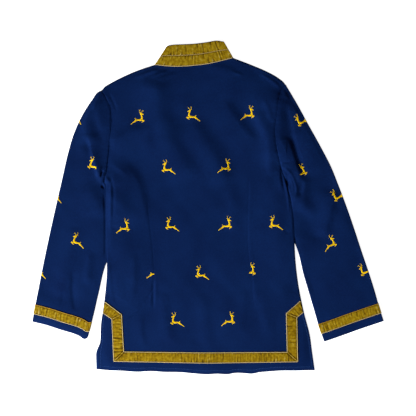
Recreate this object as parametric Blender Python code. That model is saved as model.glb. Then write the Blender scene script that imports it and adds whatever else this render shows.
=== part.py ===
# A long-sleeved tunic blouse laid flat with its front down.
# Panels, sleeves and collar are thin cloth walls, and ribbon lies on the collar, cuffs and hem.
# Sizes are in millimetres: x to the right, y to the collar, z up from the surface it lies on.
import math

import bmesh
import bpy
import numpy as np

MM = 0.001

# Cloth and air between its layers
WALL = 1.0
RIBBON_WALL = 1.0
GAP = 0.3
SEAM = 0.5
HOLLOW = 1.2
COLLAR_HOLLOW = 0.4
LEAST_HOLLOW = 0.4
MOST_HOLLOW = 3.9
SLEEVE_HEIGHT = 2 * WALL + HOLLOW
UNDER_RIBBON = RIBBON_WALL + GAP

# Cells of the panels: the armholes share theirs with the sleeves, the neck with the collar
ARMHOLE_CELLS = 14
SIDE_CELLS = 24
NECK_CELLS = 16
FOLD_ANGLES = (-90, -45, 0, 45, 90)

# Cells of a sleeve: across it, the armhole's cells that its top takes, and rows down to the cuff
SLEEVE_CELLS = 12
CAP_CELLS = 2
ARM_CELLS = 15

# Outline of the body, as (x, y) points from the shoulder tips down
LEFT_SHOULDER = ((-239.4, 264), (-234, 271), (-220, 280), (-193, 294), (-166, 306), (-119, 322))
BACK_NECK = ((-119, 322), (-98, 319.5), (-68, 318), (-34, 320), (-1, 324), (31, 331), (56, 337.5))
RIGHT_SHOULDER = ((56, 337.5), (103, 319.5), (130, 308), (158, 292.5), (171, 282), (175, 276.5))
LEFT_ARMHOLE = (
    (-239.4, 264), (-228, 247), (-220, 224), (-218, 195), (-219, 172), (-222, 137), (-226, 103), (-230, 55),
)
RIGHT_ARMHOLE = (
    (175, 276.5), (166.5, 268), (160.7, 254), (155, 213), (151, 183), (151.5, 155), (156, 126), (165, 90),
)
LEFT_SIDE = (
    (-230, 55), (-229.5, -73), (-227.5, -140), (-235, -221), (-241, -262), (-243, -302), (-246, -320),
    (-246.5, -364),
)
RIGHT_SIDE = (
    (165, 90), (180, 17), (187, -39), (196, -118), (205, -181), (216, -235), (230, -290), (234, -320),
    (240.5, -366),
)
HEM = (
    (-246.5, -364), (-193, -368), (-99, -370), (-31, -373), (-4, -375), (22, -374.6), (63, -373),
    (130, -369), (198, -366.5), (240.5, -366),
)

# The front's neckline, and the slit that lets a head through
SLIT_X = -31.5
SLIT_WIDTH = 1.5
SLIT_CELLS = 11
LEFT_FRONT_NECK = ((-119, 322), (-109, 299), (-92, 276), (-66, 256), (SLIT_X - SLIT_WIDTH / 2, 246))
RIGHT_FRONT_NECK = ((SLIT_X + SLIT_WIDTH / 2, 246), (2, 259), (28, 281), (46, 311), (56, 337.5))
NECK_MIDDLE = (SLIT_X, 430)

# How far the front's left vent flap reaches past the back's, down its length
FLAP_REACH = ((-364, 5.0), (-325, 5.5), (-305, 0.0))

# The collar's free edge, behind and on its two front halves
COLLAR_TOP = ((-92.5, 364), (-58, 367.4), (-31, 369.2), (-4, 372.4), (22, 376), (35, 374))
LEFT_FRONT_COLLAR_TOP = ((SLIT_X - SLIT_WIDTH, 293), (-58, 300), (-78, 324), (-92.5, 364))
RIGHT_FRONT_COLLAR_TOP = ((35, 374), (20, 335), (-2, 304), (SLIT_X + SLIT_WIDTH, 293))
COLLAR_ROWS = (0.0, 0.03, 0.25, 0.48, 0.52, 0.75, 0.97, 1.0)
COLLAR_RIBBONS = {"collar_ribbon_upper": (1, 3), "collar_ribbon_lower": (4, 6)}

# The sleeves: each table runs from the armhole to the cuff
LEFT_OUTER = (
    (-239.8, 264), (-247.5, 260.6), (-261, 243), (-274.5, 223), (-288, 199), (-301.5, 168.5), (-315, 124),
    (-328.5, 65), (-342, 6.5), (-355.5, -54), (-369, -117.5), (-382.5, -186), (-395.8, -256.5),
)
LEFT_INNER = (
    (-230.4, 55), (-232.5, 40), (-231, 24), (-221, 2), (-210, -24), (-206, -52), (-213, -92),
    (-229.5, -127), (-246.5, -194), (-259, -248), (-266, -276), (-275.5, -295.5),
)
LEFT_CUFF = ((-395.8, -256.5), (-365, -264), (-332.5, -274.5), (-288.5, -288.7), (-275.5, -295.5))
RIGHT_OUTER = (
    (175.4, 276.5), (184.5, 261.5), (198, 238.7), (225, 189.5), (252, 141), (279, 88.4), (292.5, 54.5),
    (306, 19.4), (319.5, -18), (346.5, -99), (373.5, -180.5), (387, -228), (396, -255.2),
)
RIGHT_INNER = (
    (165.4, 90), (171, 74), (173, 58), (165, 36), (158, 10), (164, -24), (178, -54),
    (194.6, -79.4), (216, -154), (236, -221), (252, -275), (261.7, -301.7),
)
RIGHT_CUFF = ((261.7, -301.7), (277, -296.6), (339, -274.5), (396, -255.2))

# Distances up from a cuff's edge: the rows near it, and the ribbon between two of them
CUFF_ZONE = 62.0
CUFF_ROWS = (62.0, 47.0, 41.8, 29.4, 17.0, 12.0, 0.0)
CUFF_RIBBON = (41.8, 17.0)
CUFF_FLAT = 15.0
CUFF_FALL = 14.0
CUFF_FADE = 30.0

# Shares of a sleeve's rows that end at the armpit and at the cuff zone, and how far down the
# outer edge the armpit's row starts
ARMPIT_SHARE = 0.38
ARM_SHARE = 0.86
ABREAST = {"left": 210.0, "right": 168.0}

# The hem ribbon's two edges, from one side seam round the vents and hem to the other
RIBBON_OUTSIDE = (
    (-235.5, -236.5), (-215.5, -250.5), (-211.5, -345), (-2, -349), (201.5, -346), (199.5, -246.5),
    (214, -235),
)
RIBBON_INSIDE = (
    (-232.5, -212.5), (-195, -240.5), (-190, -324.7), (-9, -327), (179, -325.5), (177, -238),
    (208, -211),
)
RIBBON_CELLS = (3, 6, 14, 14, 6, 3)
RIBBON_FLAT = 22.0
RIBBON_FALL = 20.0

# Where the sleeves' inner edges slide under the body: armpit, the place where they come out
TUCKS = {
    "left": {"side": LEFT_SIDE, "inward": 1, "armpit": 55, "out": -127},
    "right": {"side": RIGHT_SIDE, "inward": -1, "armpit": 90, "out": -79},
}
TUCK_WIDTH = 30.0
TUCK_FALL = 30.0
TUCK_RISE = 22.0
TUCK_END = 40.0
TUCK_PAST = 8.0
TUCK_BARE = 12.0

# The oval under the collar's front halves, where both panels lie higher
NECK_OVAL = {"x": SLIT_X, "y": 325.0, "across": 100.0, "down": 92.0, "fall": 0.4}

# The darts: their stitched lines, as paths from the top down
DARTS = {
    "left": ((-138, 24), (-123, -119), (-121.5, -172), (-123, -222)),
    "right": ((92.5, 71), (90.2, -84), (95, -137), (99.7, -172), (102.6, -216)),
}
DART_DEPTH = 0.7
DART_HALF_WIDTH = 5.0
DART_START = 0.3
DART_END = 0.2

# Folds of the upper layer: name, half width, height over the cloth (a trough is below it), path
FOLDS = (
    ("left shoulder ridge", 13, 1.2, ((-118, 293), (-118, 235), (-107, 190))),
    ("left blade trough", 13, -0.7, ((-212, 157), (-169, 177), (-124, 180))),
    ("centre trough", 17, -0.7, ((-96, 191), (-62, 141), (-28, 84))),
    ("centre ridge", 15, 1.5, ((-34, 164), (6, 90), (28, 50))),
    ("right centre trough", 14, -0.6, ((-6, 157), (45, 74), (67, 29))),
    ("right blade trough", 13, -0.7, ((34, 225), (75, 190), (107, 163))),
    ("right blade ridge", 12, 1.8, ((101, 191), (130, 152), (139, 90))),
    ("right armhole trough", 9, -0.7, ((113, 208), (150, 157))),
    ("left waist ridge", 17, 1.6, ((-212, 130), (-180, 120), (-150, 95), (-126, 40))),
    ("left waist trough", 10, -0.8, ((-212, 101), (-175, 95), (-147, 62), (-137, 28))),
    ("right side ridge", 22, 1.3, ((140, 80), (146, 10), (148, -60))),
    ("right seat trough", 15, -0.5, ((-5, -150), (4, -270))),
    ("left seat trough", 13, -0.5, ((-84, -200), (-74, -280))),
    ("left cap hollow", 9, -0.8, ((-260, 217), (-265, 186), (-250, 160), (-237, 139))),
    ("left cap ridge", 8, 1.2, ((-243, 222), (-243, 188))),
    ("left underarm ridge", 9, 2.6, ((-269, 154), (-249, 115), (-241, 84))),
    ("left elbow trough", 11, -0.7, ((-268, 46), (-246, 13))),
    ("left elbow swell", 14, 1.4, ((-296, 130), (-306, 60))),
    ("right cap ridge", 10, 2.7, ((182, 223), (194, 166), (206, 124), (221, 76), (239, 25))),
    ("right cap groove", 7, -0.8, ((184, 160), (195, 124), (210, 82), (215, 62))),
    ("right cap trough", 8, -0.7, ((166, 222), (169, 165))),
    ("right elbow hump", 10, 1.6, ((220, 14), (230, -16))),
    ("right elbow ridge", 13, 1.4, ((246, -50), (224, -104))),
    ("right elbow trough", 13, -0.7, ((283, -5), (268, -50))),
)
FOLD_TAPER = 18.0
FOLD_TIP = 0.2
FOLD_REACH = 3
FOLD_INSET = 4.0
EDGE_FADE = 15.0
LOFT_FADE = 25.0

SHARP_ANGLE = 50
NAVY = (0.0060, 0.0232, 0.1022, 1.0)
OLIVE_GOLD = (0.2623, 0.1620, 0.0048, 1.0)


def smooth(share):
    share = min(max(share, 0.0), 1.0)
    return share * share * (3 - 2 * share)


# Smooth line through the points, read by its share of their length or of their width
def curve(points, by_width=False):
    knots = np.array(points, float)
    steps = np.diff(knots, axis=0)
    steps = np.abs(steps[:, 0]) if by_width else np.linalg.norm(steps, axis=1)
    shares = np.concatenate([[0], np.cumsum(steps)]) / steps.sum()
    slopes = np.gradient(knots, shares, axis=0)

    def at(share):
        i = min(max(int(np.searchsorted(shares, share)) - 1, 0), len(steps) - 1)
        span = shares[i + 1] - shares[i]
        t = (share - shares[i]) / span
        start = (1 + 2 * t) * (1 - t) ** 2 * knots[i] + t * (1 - t) ** 2 * span * slopes[i]
        end = t * t * (3 - 2 * t) * knots[i + 1] + t * t * (t - 1) * span * slopes[i + 1]
        return start + end

    at.length = steps.sum()
    return at


# Lines end to end, each given with the share where it stops
def joined(*stretches):
    def at(share):
        start = 0.0
        for stop, line in stretches:
            if share <= stop or stop == stretches[-1][0]:
                return line((share - start) / (stop - start))
            start = stop

    return at


# The same line the other way round
def turned(line):
    return lambda share: line(1 - share)


# The same line, with the given lengths along it reached at the given shares
def paced(line, shares, lengths):
    places = np.array(lengths) / line.length
    return lambda share: line(float(np.interp(share, shares, places)))


# Straight from point to point, each stretch taking the same share
def chords(points):
    stops = np.linspace(0, 1, len(points))
    return lambda share: np.array([np.interp(share, stops, values) for values in zip(*points)])


# Moved sideways by one seam's gap, out of the body
def outward(line, direction):
    return lambda share: line(share) + np.array((direction * SEAM, 0.0))


# Moved by one seam's gap toward the middle of the neck
def drawn_in(line):
    def at(share):
        point = line(share)
        way = np.array(NECK_MIDDLE) - point
        return point + way / np.linalg.norm(way) * SEAM

    return at


# The surface between four lines: across from left to right, down from top to bottom
def patch(top, bottom, left, right):
    corners = (top(0), top(1), bottom(0), bottom(1))

    def at(across, down):
        ruled = (1 - down) * top(across) + down * bottom(across)
        ruled = ruled + (1 - across) * left(down) + across * right(down)
        flat_top = (1 - across) * corners[0] + across * corners[1]
        flat_bottom = (1 - across) * corners[2] + across * corners[3]
        return ruled - (1 - down) * flat_top - down * flat_bottom

    return at


# How far a point lies from a path, and how far along the path its nearest place is
def near_path(path, x, y):
    best, along, before = math.inf, 0.0, 0.0
    for (x0, y0), (x1, y1) in zip(path, path[1:]):
        length = math.hypot(x1 - x0, y1 - y0)
        share = ((x - x0) * (x1 - x0) + (y - y0) * (y1 - y0)) / length**2
        share = min(max(share, 0.0), 1.0)
        away = math.hypot(x - x0 - share * (x1 - x0), y - y0 - share * (y1 - y0))
        if away < best:
            best, along = away, before + share * length
        before += length
    return best, along, before


# Outline read at a height or across
def side_x(side, y):
    points = sorted((py, px) for px, py in side)
    return float(np.interp(y, [p[0] for p in points], [p[1] for p in points]))


TOP_LINE = LEFT_SHOULDER[:-1] + BACK_NECK[:-1] + RIGHT_SHOULDER


def top_y(x):
    return float(np.interp(x, [p[0] for p in TOP_LINE], [p[1] for p in TOP_LINE]))


def hem_y(x):
    return float(np.interp(x, [p[0] for p in HEM], [p[1] for p in HEM]))


RIBBON_MIDDLE = tuple(
    ((a[0] + b[0]) / 2, (a[1] + b[1]) / 2) for a, b in zip(RIBBON_OUTSIDE, RIBBON_INSIDE)
)


# From 0 under the hem ribbon to 1 clear of it
def clear_of_ribbon(x, y):
    away = near_path(RIBBON_MIDDLE, x, y)[0]
    return smooth((away - RIBBON_FLAT) / RIBBON_FALL)


# How much the body rises over the sleeves' hidden edges
def tuck_rise(x, y):
    rise = 0.0
    for tuck in TUCKS.values():
        inside = tuck["inward"] * (x - side_x(tuck["side"], y))
        along = smooth((tuck["armpit"] - y) / TUCK_RISE)
        along *= smooth((y - tuck["out"] + TUCK_END + TUCK_PAST) / TUCK_END)
        rise = max(rise, along * (1 - smooth((inside - TUCK_WIDTH) / TUCK_FALL)))
    return rise * (SLEEVE_HEIGHT + GAP)


# How much both panels rise over the collar's front halves
def neck_rise(x, y):
    oval = NECK_OVAL
    reach = math.hypot((x - oval["x"]) / oval["across"], (y - oval["y"]) / oval["down"])
    return UNDER_RIBBON * (1 - smooth((reach - 1) / oval["fall"]))


# Underside of the front panel
def front_under(x, y):
    hem = UNDER_RIBBON * (1 - clear_of_ribbon(x, y))
    return max(hem, tuck_rise(x, y), neck_rise(x, y))


# From 0 on the side seams and shoulders to 1 inside, and 1 along the armholes
def clear_of_seams(x, y, fade):
    clear = smooth((top_y(x) - y) / fade) * smooth((y - hem_y(x)) / fade)
    for tuck in TUCKS.values():
        inside = tuck["inward"] * (x - side_x(tuck["side"], y))
        below = smooth((tuck["armpit"] + FOLD_INSET - y) / TUCK_FALL)
        clear *= max(smooth(inside / fade), 1 - below)
    return clear


def fold_height(x, y):
    height = 0.0
    for _, half_width, peak, path in FOLDS:
        away, along, length = near_path(path, x, y)
        if away > FOLD_REACH * half_width:
            continue
        ends = smooth(FOLD_TIP + along / FOLD_TAPER) * smooth(FOLD_TIP + (length - along) / FOLD_TAPER)
        height += peak * ends * math.exp(-((away / half_width) ** 2))
    return height


def dart_groove(x, y):
    groove = 0.0
    for path in DARTS.values():
        away, along, length = near_path(path, x, y)
        ends = smooth(along / FOLD_TAPER) * smooth((length - along) / FOLD_TAPER)
        groove -= DART_DEPTH * ends * math.exp(-((away / DART_HALF_WIDTH) ** 2))
    return groove


# Air between the front and back panels
def body_hollow(x, y):
    clear = clear_of_ribbon(x, y)
    loft = (HOLLOW - GAP) * clear_of_seams(x, y, LOFT_FADE) * clear
    folds = (fold_height(x, y) + dart_groove(x, y)) * clear_of_seams(x, y, EDGE_FADE) * clear
    return min(max(GAP + loft + folds, GAP), MOST_HOLLOW)


def back_under(x, y):
    return front_under(x, y) + WALL + body_hollow(x, y)


BODY_ROWS = np.linspace(0, 1, ARMHOLE_CELLS + SIDE_CELLS + 1)
ARMPIT_ROW = ARMHOLE_CELLS / (ARMHOLE_CELLS + SIDE_CELLS)
NECK_START, NECK_STOP = 0.29, 0.715
NECK_COLUMNS = np.linspace(NECK_START, NECK_STOP, NECK_CELLS + 1)
NECK_CENTRE = (NECK_START + NECK_STOP) / 2
HALF_SLIT = 0.0017
DART_COLUMNS = {"left": 0.245, "right": 0.76}
LEFT_COLUMNS = (0.0, 0.035, 0.07, 0.105, 0.14, 0.175, 0.21, 0.233, 0.245, 0.257)
RIGHT_COLUMNS = (0.748, 0.76, 0.772, 0.80, 0.835, 0.87, 0.905, 0.935, 0.968, 1.0)


def body_patch(neck):
    top = joined(
        (NECK_START, curve(LEFT_SHOULDER)), (NECK_STOP, neck), (1.0, curve(RIGHT_SHOULDER))
    )
    left = joined((ARMPIT_ROW, curve(LEFT_ARMHOLE)), (1.0, curve(LEFT_SIDE)))
    right = joined((ARMPIT_ROW, curve(RIGHT_ARMHOLE)), (1.0, curve(RIGHT_SIDE)))
    plan = patch(top, curve(HEM), left, right)

    # Each dart has a column of its own, and the columns beside it make way
    def at(across, down):
        point = plan(across, down)
        for name, column in DART_COLUMNS.items():
            end = 0.0 if name == "left" else 1.0
            beside = (across - end) / (column - end)
            if beside > 1:
                beside = (across - NECK_CENTRE) / (column - NECK_CENTRE)
            stretch = smooth(down / DART_START) * smooth((1 - down) / DART_END)
            shift = side_x(DARTS[name], plan(column, down)[1]) - plan(column, down)[0]
            point = point + np.array((shift * stretch * max(beside, 0.0), 0.0))
        return point

    return at


# A grid of cells laid by place(across, down), open at the missing ones, then given its wall
def cloth(name, columns, rows, place, wall, material, missing=lambda i, j: False):
    shape = bmesh.new()
    cells_across, cells_down = len(columns) - 1, len(rows) - 1
    bmesh.ops.create_grid(shape, x_segments=cells_across, y_segments=cells_down, size=1)
    gone = []
    for face in shape.faces:
        middle = face.calc_center_median()
        i, j = int((middle.x + 1) / 2 * cells_across), int((1 - middle.y) / 2 * cells_down)
        if missing(i, j):
            gone.append(face)
    bmesh.ops.delete(shape, geom=gone, context="FACES")
    for vert in shape.verts:
        i = round((vert.co.x + 1) / 2 * cells_across)
        j = round((1 - vert.co.y) / 2 * cells_down)
        vert.co = np.array(place(columns[i], rows[j])) * MM
    bmesh.ops.remove_doubles(shape, verts=shape.verts, dist=1e-6)
    mesh = bpy.data.meshes.new(name)
    shape.to_mesh(mesh)
    shape.free()
    mesh.materials.append(material)
    mesh.shade_smooth()
    mesh.set_sharp_from_angle(angle=math.radians(SHARP_ANGLE))
    piece = bpy.data.objects.new(name, mesh)
    bpy.context.scene.collection.objects.link(piece)
    solid = piece.modifiers.new("Wall", "SOLIDIFY")
    solid.thickness = abs(wall) * MM
    solid.offset = math.copysign(1, wall)
    solid.use_even_offset = True
    return piece


def back_panel(material):
    plan = body_patch(curve(BACK_NECK, by_width=True))
    columns = [*LEFT_COLUMNS, *NECK_COLUMNS, *RIGHT_COLUMNS]

    def place(across, down):
        x, y = plan(across, down)
        return x, y, back_under(x, y)

    return cloth("back", columns, BODY_ROWS, place, WALL, material)


def front_panel(material):
    middle = (NECK_CENTRE - NECK_START) / (NECK_STOP - NECK_START)
    half = HALF_SLIT / (NECK_STOP - NECK_START)
    left_neck = curve(LEFT_FRONT_NECK, by_width=True)
    right_neck = curve(RIGHT_FRONT_NECK, by_width=True)
    across_slit = curve((LEFT_FRONT_NECK[-1], RIGHT_FRONT_NECK[0]))
    neck = joined((middle - half, left_neck), (middle + half, across_slit), (1.0, right_neck))
    plan = body_patch(neck)
    half_neck = NECK_CELLS // 2 + 1
    columns = [
        *LEFT_COLUMNS,
        *np.linspace(NECK_START, NECK_CENTRE - HALF_SLIT, half_neck),
        *np.linspace(NECK_CENTRE + HALF_SLIT, NECK_STOP, half_neck),
        *RIGHT_COLUMNS,
    ]

    def place(across, down):
        x, y = plan(across, down)
        if across == 0:
            x -= float(np.interp(y, *zip(*FLAP_REACH)))
        return x, y, front_under(x, y)

    # The slit takes the narrow middle cells of the upper rows
    def in_slit(i, j):
        return i == len(LEFT_COLUMNS) + half_neck - 1 and j < SLIT_CELLS

    return cloth("front", columns, BODY_ROWS, place, WALL, material, in_slit)


# Stations round a flattened tube: a fold, over its top, the other fold and back underneath
def tube_stations(cells):
    shares = np.linspace(0, 1, cells + 1)[1:-1]
    right_fold = [("right", angle) for angle in reversed(FOLD_ANGLES)]
    left_fold = [("left", angle) for angle in FOLD_ANGLES]
    upper = [("upper", share) for share in shares]
    lower = [("lower", share) for share in reversed(shares)]
    return [*left_fold, *upper, *right_fold, *lower, left_fold[0]]


# Share across and height of a place on a fold, moved out of the cloth
def on_fold(side, angle, radius, base, out, width):
    turn = math.radians(angle)
    inset = (radius - (radius + out) * math.cos(turn)) / width
    return inset if side == "left" else 1 - inset, base + radius + (radius + out) * math.sin(turn)


# How far a place in the sleeve's rows lies above the cuff's edge
def above_cuff(down):
    return (1 - down) / (1 - ARM_SHARE) * CUFF_ZONE


def sleeve_under(down):
    middle = sum(CUFF_RIBBON) / 2
    return UNDER_RIBBON * (1 - smooth((abs(above_cuff(down) - middle) - CUFF_FLAT) / CUFF_FALL))


# Folds of a sleeve's upper layer, gone under the body, at its folded edges and by the cuff
def sleeve_folds(side, x, y, from_fold, down):
    tuck = TUCKS[side]
    outside = -tuck["inward"] * (x - side_x(tuck["side"], y))
    bare = max(smooth((y - tuck["armpit"]) / EDGE_FADE), smooth((outside - TUCK_BARE) / EDGE_FADE))
    clear = smooth((from_fold - FOLD_INSET) / EDGE_FADE)
    clear *= smooth((above_cuff(down) - CUFF_ZONE) / CUFF_FADE)
    return min(max(fold_height(x, y) * bare * clear, LEAST_HOLLOW - HOLLOW), MOST_HOLLOW - HOLLOW)


# A place on a sleeve. Above the armpit its inner edge is open, and lies along the armhole
def sleeve_point(side, plan, station, down, out=0.0):
    layer, value = station
    inner = "right" if side == "left" else "left"
    base = sleeve_under(down)
    width = np.linalg.norm(plan(1, down) - plan(0, down))
    open_edge = layer == inner and down < ARMPIT_SHARE - 1e-6
    if layer in ("left", "right") and not open_edge:
        share, z = on_fold(layer, value, SLEEVE_HEIGHT / 2, base, out, width)
        x, y = plan(share, down)
        return x, y, z
    share = {"left": 0.0, "right": 1.0}.get(layer, value)
    x, y = plan(share, down)
    if layer == "lower" or value < 0:
        return x, y, base - out
    from_outer = share if side == "left" else 1 - share
    from_fold = width * (from_outer if down < ARMPIT_SHARE else min(share, 1 - share))
    return x, y, base + SLEEVE_HEIGHT + sleeve_folds(side, x, y, from_fold, down) + out


# A sleeve's plan: its top lies along the armhole's first cells and its inner edge along the rest
def sleeve_patch(side):
    armhole, outer, inner, cuff, way = {
        "left": (LEFT_ARMHOLE, LEFT_OUTER, LEFT_INNER, LEFT_CUFF, -1),
        "right": (RIGHT_ARMHOLE, RIGHT_OUTER, RIGHT_INNER, RIGHT_CUFF, 1),
    }[side]
    seam = outward(curve(armhole), way)
    cap = chords([seam(cell / ARMHOLE_CELLS) for cell in range(CAP_CELLS + 1)])
    start = CAP_CELLS / ARMHOLE_CELLS
    outer, inner = curve(outer), curve(inner)

    def along_seam(share):
        return seam(start + share * (1 - start))

    inner_shares = (0, (ARM_SHARE - ARMPIT_SHARE) / (1 - ARMPIT_SHARE), 1)
    inner = paced(inner, inner_shares, (0, inner.length - CUFF_ZONE, inner.length))
    inner = joined((ARMPIT_SHARE, along_seam), (1.0, inner))
    outer_stops = (0, ABREAST[side], outer.length - CUFF_ZONE, outer.length)
    outer = paced(outer, (0, ARMPIT_SHARE, ARM_SHARE, 1), outer_stops)
    if side == "left":
        return patch(cap, curve(cuff), outer, inner)
    return patch(turned(cap), curve(cuff), inner, outer)


def sleeve(side, cloth_material, ribbon_material):
    plan = sleeve_patch(side)
    inner = "right" if side == "left" else "left"
    stations = tube_stations(SLEEVE_CELLS)
    armhole_rows = np.linspace(0, ARMPIT_SHARE, ARMHOLE_CELLS - CAP_CELLS + 1)[:-1]
    arm_rows = np.linspace(ARMPIT_SHARE, ARM_SHARE, ARM_CELLS + 1)[:-1]
    cuff_rows = [1 - (1 - ARM_SHARE) * up / CUFF_ZONE for up in CUFF_ROWS]

    def place(station, down):
        return sleeve_point(side, plan, station, down)

    def place_ribbon(station, down):
        return sleeve_point(side, plan, station, down, GAP)

    def in_armhole(i, j):
        both = stations[i][0] == inner and stations[i + 1][0] == inner
        return both and j < ARMHOLE_CELLS - CAP_CELLS

    rows = [*armhole_rows, *arm_rows, *cuff_rows]
    cloth(f"sleeve_{side}", stations, rows, place, -WALL, cloth_material, in_armhole)
    first, last = (CUFF_ROWS.index(up) for up in CUFF_RIBBON)
    rows = cuff_rows[first : last + 1]
    cloth(f"cuff_ribbon_{side}", stations, rows, place_ribbon, RIBBON_WALL, ribbon_material)


# The collar's three flat stretches, each as a patch from its free edge down to the neckline
def collar_patches():
    back_seam = drawn_in(curve(BACK_NECK, by_width=True))
    left_seam = drawn_in(turned(curve(LEFT_FRONT_NECK, by_width=True)))
    right_seam = drawn_in(turned(curve(RIGHT_FRONT_NECK, by_width=True)))
    left_fold = curve((COLLAR_TOP[0], back_seam(0)))
    right_fold = curve((COLLAR_TOP[-1], back_seam(1)))
    left_end = curve((LEFT_FRONT_COLLAR_TOP[0], left_seam(0)))
    right_end = curve((RIGHT_FRONT_COLLAR_TOP[-1], right_seam(1)))
    return {
        "upper": patch(curve(COLLAR_TOP), back_seam, left_fold, right_fold),
        "left lower": patch(curve(LEFT_FRONT_COLLAR_TOP), left_seam, left_end, left_fold),
        "right lower": patch(curve(RIGHT_FRONT_COLLAR_TOP), right_seam, right_fold, right_end),
    }


# Stations along the collar, from its left front end behind the neck to its right front end
def collar_stations():
    halves = np.linspace(0, 1, NECK_CELLS // 2 + 1)
    upper = [("upper", share) for share in np.linspace(0, 1, NECK_CELLS + 1)[1:-1]]
    left_fold = [("left", angle) for angle in FOLD_ANGLES]
    right_fold = [("right", angle) for angle in reversed(FOLD_ANGLES)]
    left_lower = [("left lower", share) for share in halves[:-1]]
    right_lower = [("right lower", share) for share in halves[1:]]
    return [*left_lower, *left_fold, *upper, *right_fold, *right_lower]


def collar_point(patches, station, down, out=0.0):
    side, value = station
    base, height = UNDER_RIBBON, 2 * WALL + COLLAR_HOLLOW
    if side in ("left", "right"):
        plan = patches["upper"]
        width = np.linalg.norm(plan(1, down) - plan(0, down))
        share, z = on_fold(side, value, height / 2, base, out, width)
        x, y = plan(share, down)
        return x, y, z
    x, y = patches[side](value, down)
    return x, y, base + height + out if side == "upper" else base - out


def collar(cloth_material, ribbon_material):
    patches = collar_patches()

    def place(station, down):
        return collar_point(patches, station, down)

    def place_ribbon(station, down):
        return collar_point(patches, station, down, GAP)

    cloth("collar", collar_stations(), COLLAR_ROWS, place, -WALL, cloth_material)
    for name, (first, last) in COLLAR_RIBBONS.items():
        rows = COLLAR_ROWS[first : last + 1]
        cloth(name, collar_stations(), rows, place_ribbon, RIBBON_WALL, ribbon_material)


# A share for each station along the hem ribbon, with one at every corner
def ribbon_stations():
    stations = [0.0]
    for leg, cells in enumerate(RIBBON_CELLS):
        stations += [leg + (cell + 1) / cells for cell in range(cells)]
    return stations


def hem_ribbon(name, height, wall, material):
    corners = np.arange(len(RIBBON_OUTSIDE))

    def along(edge, station):
        return np.array([np.interp(station, corners, values) for values in zip(*edge)])

    def place(station, down):
        inside, outside = along(RIBBON_INSIDE, station), along(RIBBON_OUTSIDE, station)
        x, y = inside + (outside - inside) * down
        return x, y, height(x, y)

    cloth(name, ribbon_stations(), (0.0, 0.5, 1.0), place, wall, material)


def fabric(name, colour, roughness):
    material = bpy.data.materials.new(name)
    material.use_nodes = True
    surface = material.node_tree.nodes["Principled BSDF"]
    surface.inputs["Base Color"].default_value = colour
    surface.inputs["Roughness"].default_value = roughness
    surface.inputs["Metallic"].default_value = 0.0
    material.diffuse_color = colour
    return material


# Moves the pieces together, so that the middle of their footprint is the origin
def centre_pieces():
    bpy.context.view_layer.update()
    graph = bpy.context.evaluated_depsgraph_get()
    pieces = list(bpy.context.scene.objects)
    corners = np.array([corner for piece in pieces for corner in piece.evaluated_get(graph).bound_box])
    middle = (corners.min(axis=0) + corners.max(axis=0)) / 2
    for piece in pieces:
        piece.location = (-middle[0], -middle[1], 0)


def main():
    for old in list(bpy.data.objects):
        bpy.data.objects.remove(old)
    navy = fabric("navy_cotton", NAVY, 0.85)
    gold = fabric("olive_gold_velvet", OLIVE_GOLD, 0.7)
    front_panel(navy)
    back_panel(navy)
    for side in TUCKS:
        sleeve(side, navy, gold)
    collar(navy, gold)
    hem_ribbon("hem_ribbon_back", lambda x, y: back_under(x, y) + WALL + GAP, RIBBON_WALL, gold)
    hem_ribbon("hem_ribbon_front", lambda x, y: 0.0, RIBBON_WALL, gold)
    centre_pieces()


main()
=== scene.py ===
import math

import bmesh
import bpy
import numpy as np
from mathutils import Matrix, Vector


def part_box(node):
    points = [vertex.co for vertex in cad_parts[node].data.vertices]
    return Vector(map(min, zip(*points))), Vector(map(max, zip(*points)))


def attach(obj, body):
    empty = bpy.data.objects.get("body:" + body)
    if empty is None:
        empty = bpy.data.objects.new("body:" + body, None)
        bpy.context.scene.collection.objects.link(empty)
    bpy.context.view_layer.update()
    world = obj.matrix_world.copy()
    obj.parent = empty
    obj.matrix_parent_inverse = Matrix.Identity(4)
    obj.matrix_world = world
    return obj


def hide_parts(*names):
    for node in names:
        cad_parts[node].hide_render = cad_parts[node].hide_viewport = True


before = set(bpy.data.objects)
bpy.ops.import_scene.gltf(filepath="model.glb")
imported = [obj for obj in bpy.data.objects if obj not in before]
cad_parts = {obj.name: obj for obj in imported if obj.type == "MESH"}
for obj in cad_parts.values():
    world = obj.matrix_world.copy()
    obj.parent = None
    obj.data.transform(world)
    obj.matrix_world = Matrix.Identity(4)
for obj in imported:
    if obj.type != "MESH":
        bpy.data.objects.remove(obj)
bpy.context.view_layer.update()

print("frame loaded:", len(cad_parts), "pieces")

# The cloth: its layers, the air between them, and how its edges lie
cloth = {
    "thickness": 0.7,  # of a shell
    "wall": 0.8,  # height that one layer takes
    "gap": 0.3,  # air between the body and a sleeve under it
    "frontAir": 0.25,  # air under the front
    "hollow": 1.2,  # air between front and back
    "leastHollow": 0.15,
    "extraLoft": 0.6,  # more air far from the seams
    "loftFade": 45.0,
    "foldFade": 13.0,
    "seam": 0.5,  # from one sewn piece to the next
    "rollWidth": 3.4,  # near a seam the panels' edges roll together
    "backRoll": 0.8,
    "frontRoll": 0.25,
    "leastBack": 1.1,  # height of the back above the front's underside
    "allowance": 2.2,  # at the armhole, where it goes under the sleeve
    "allowanceDrop": 1.1,
    "allowanceEnd": (0.006, 0.01),  # shares past the armpit, and over which it ends
    "underRibbon": 1.3,  # rise over a ribbon on the hidden side
    "sleeveHeight": 3.2,
    "cuffFall": 0.2,
    "collarHollow": 0.4,
    "floorGap": 0.02,
}

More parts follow.
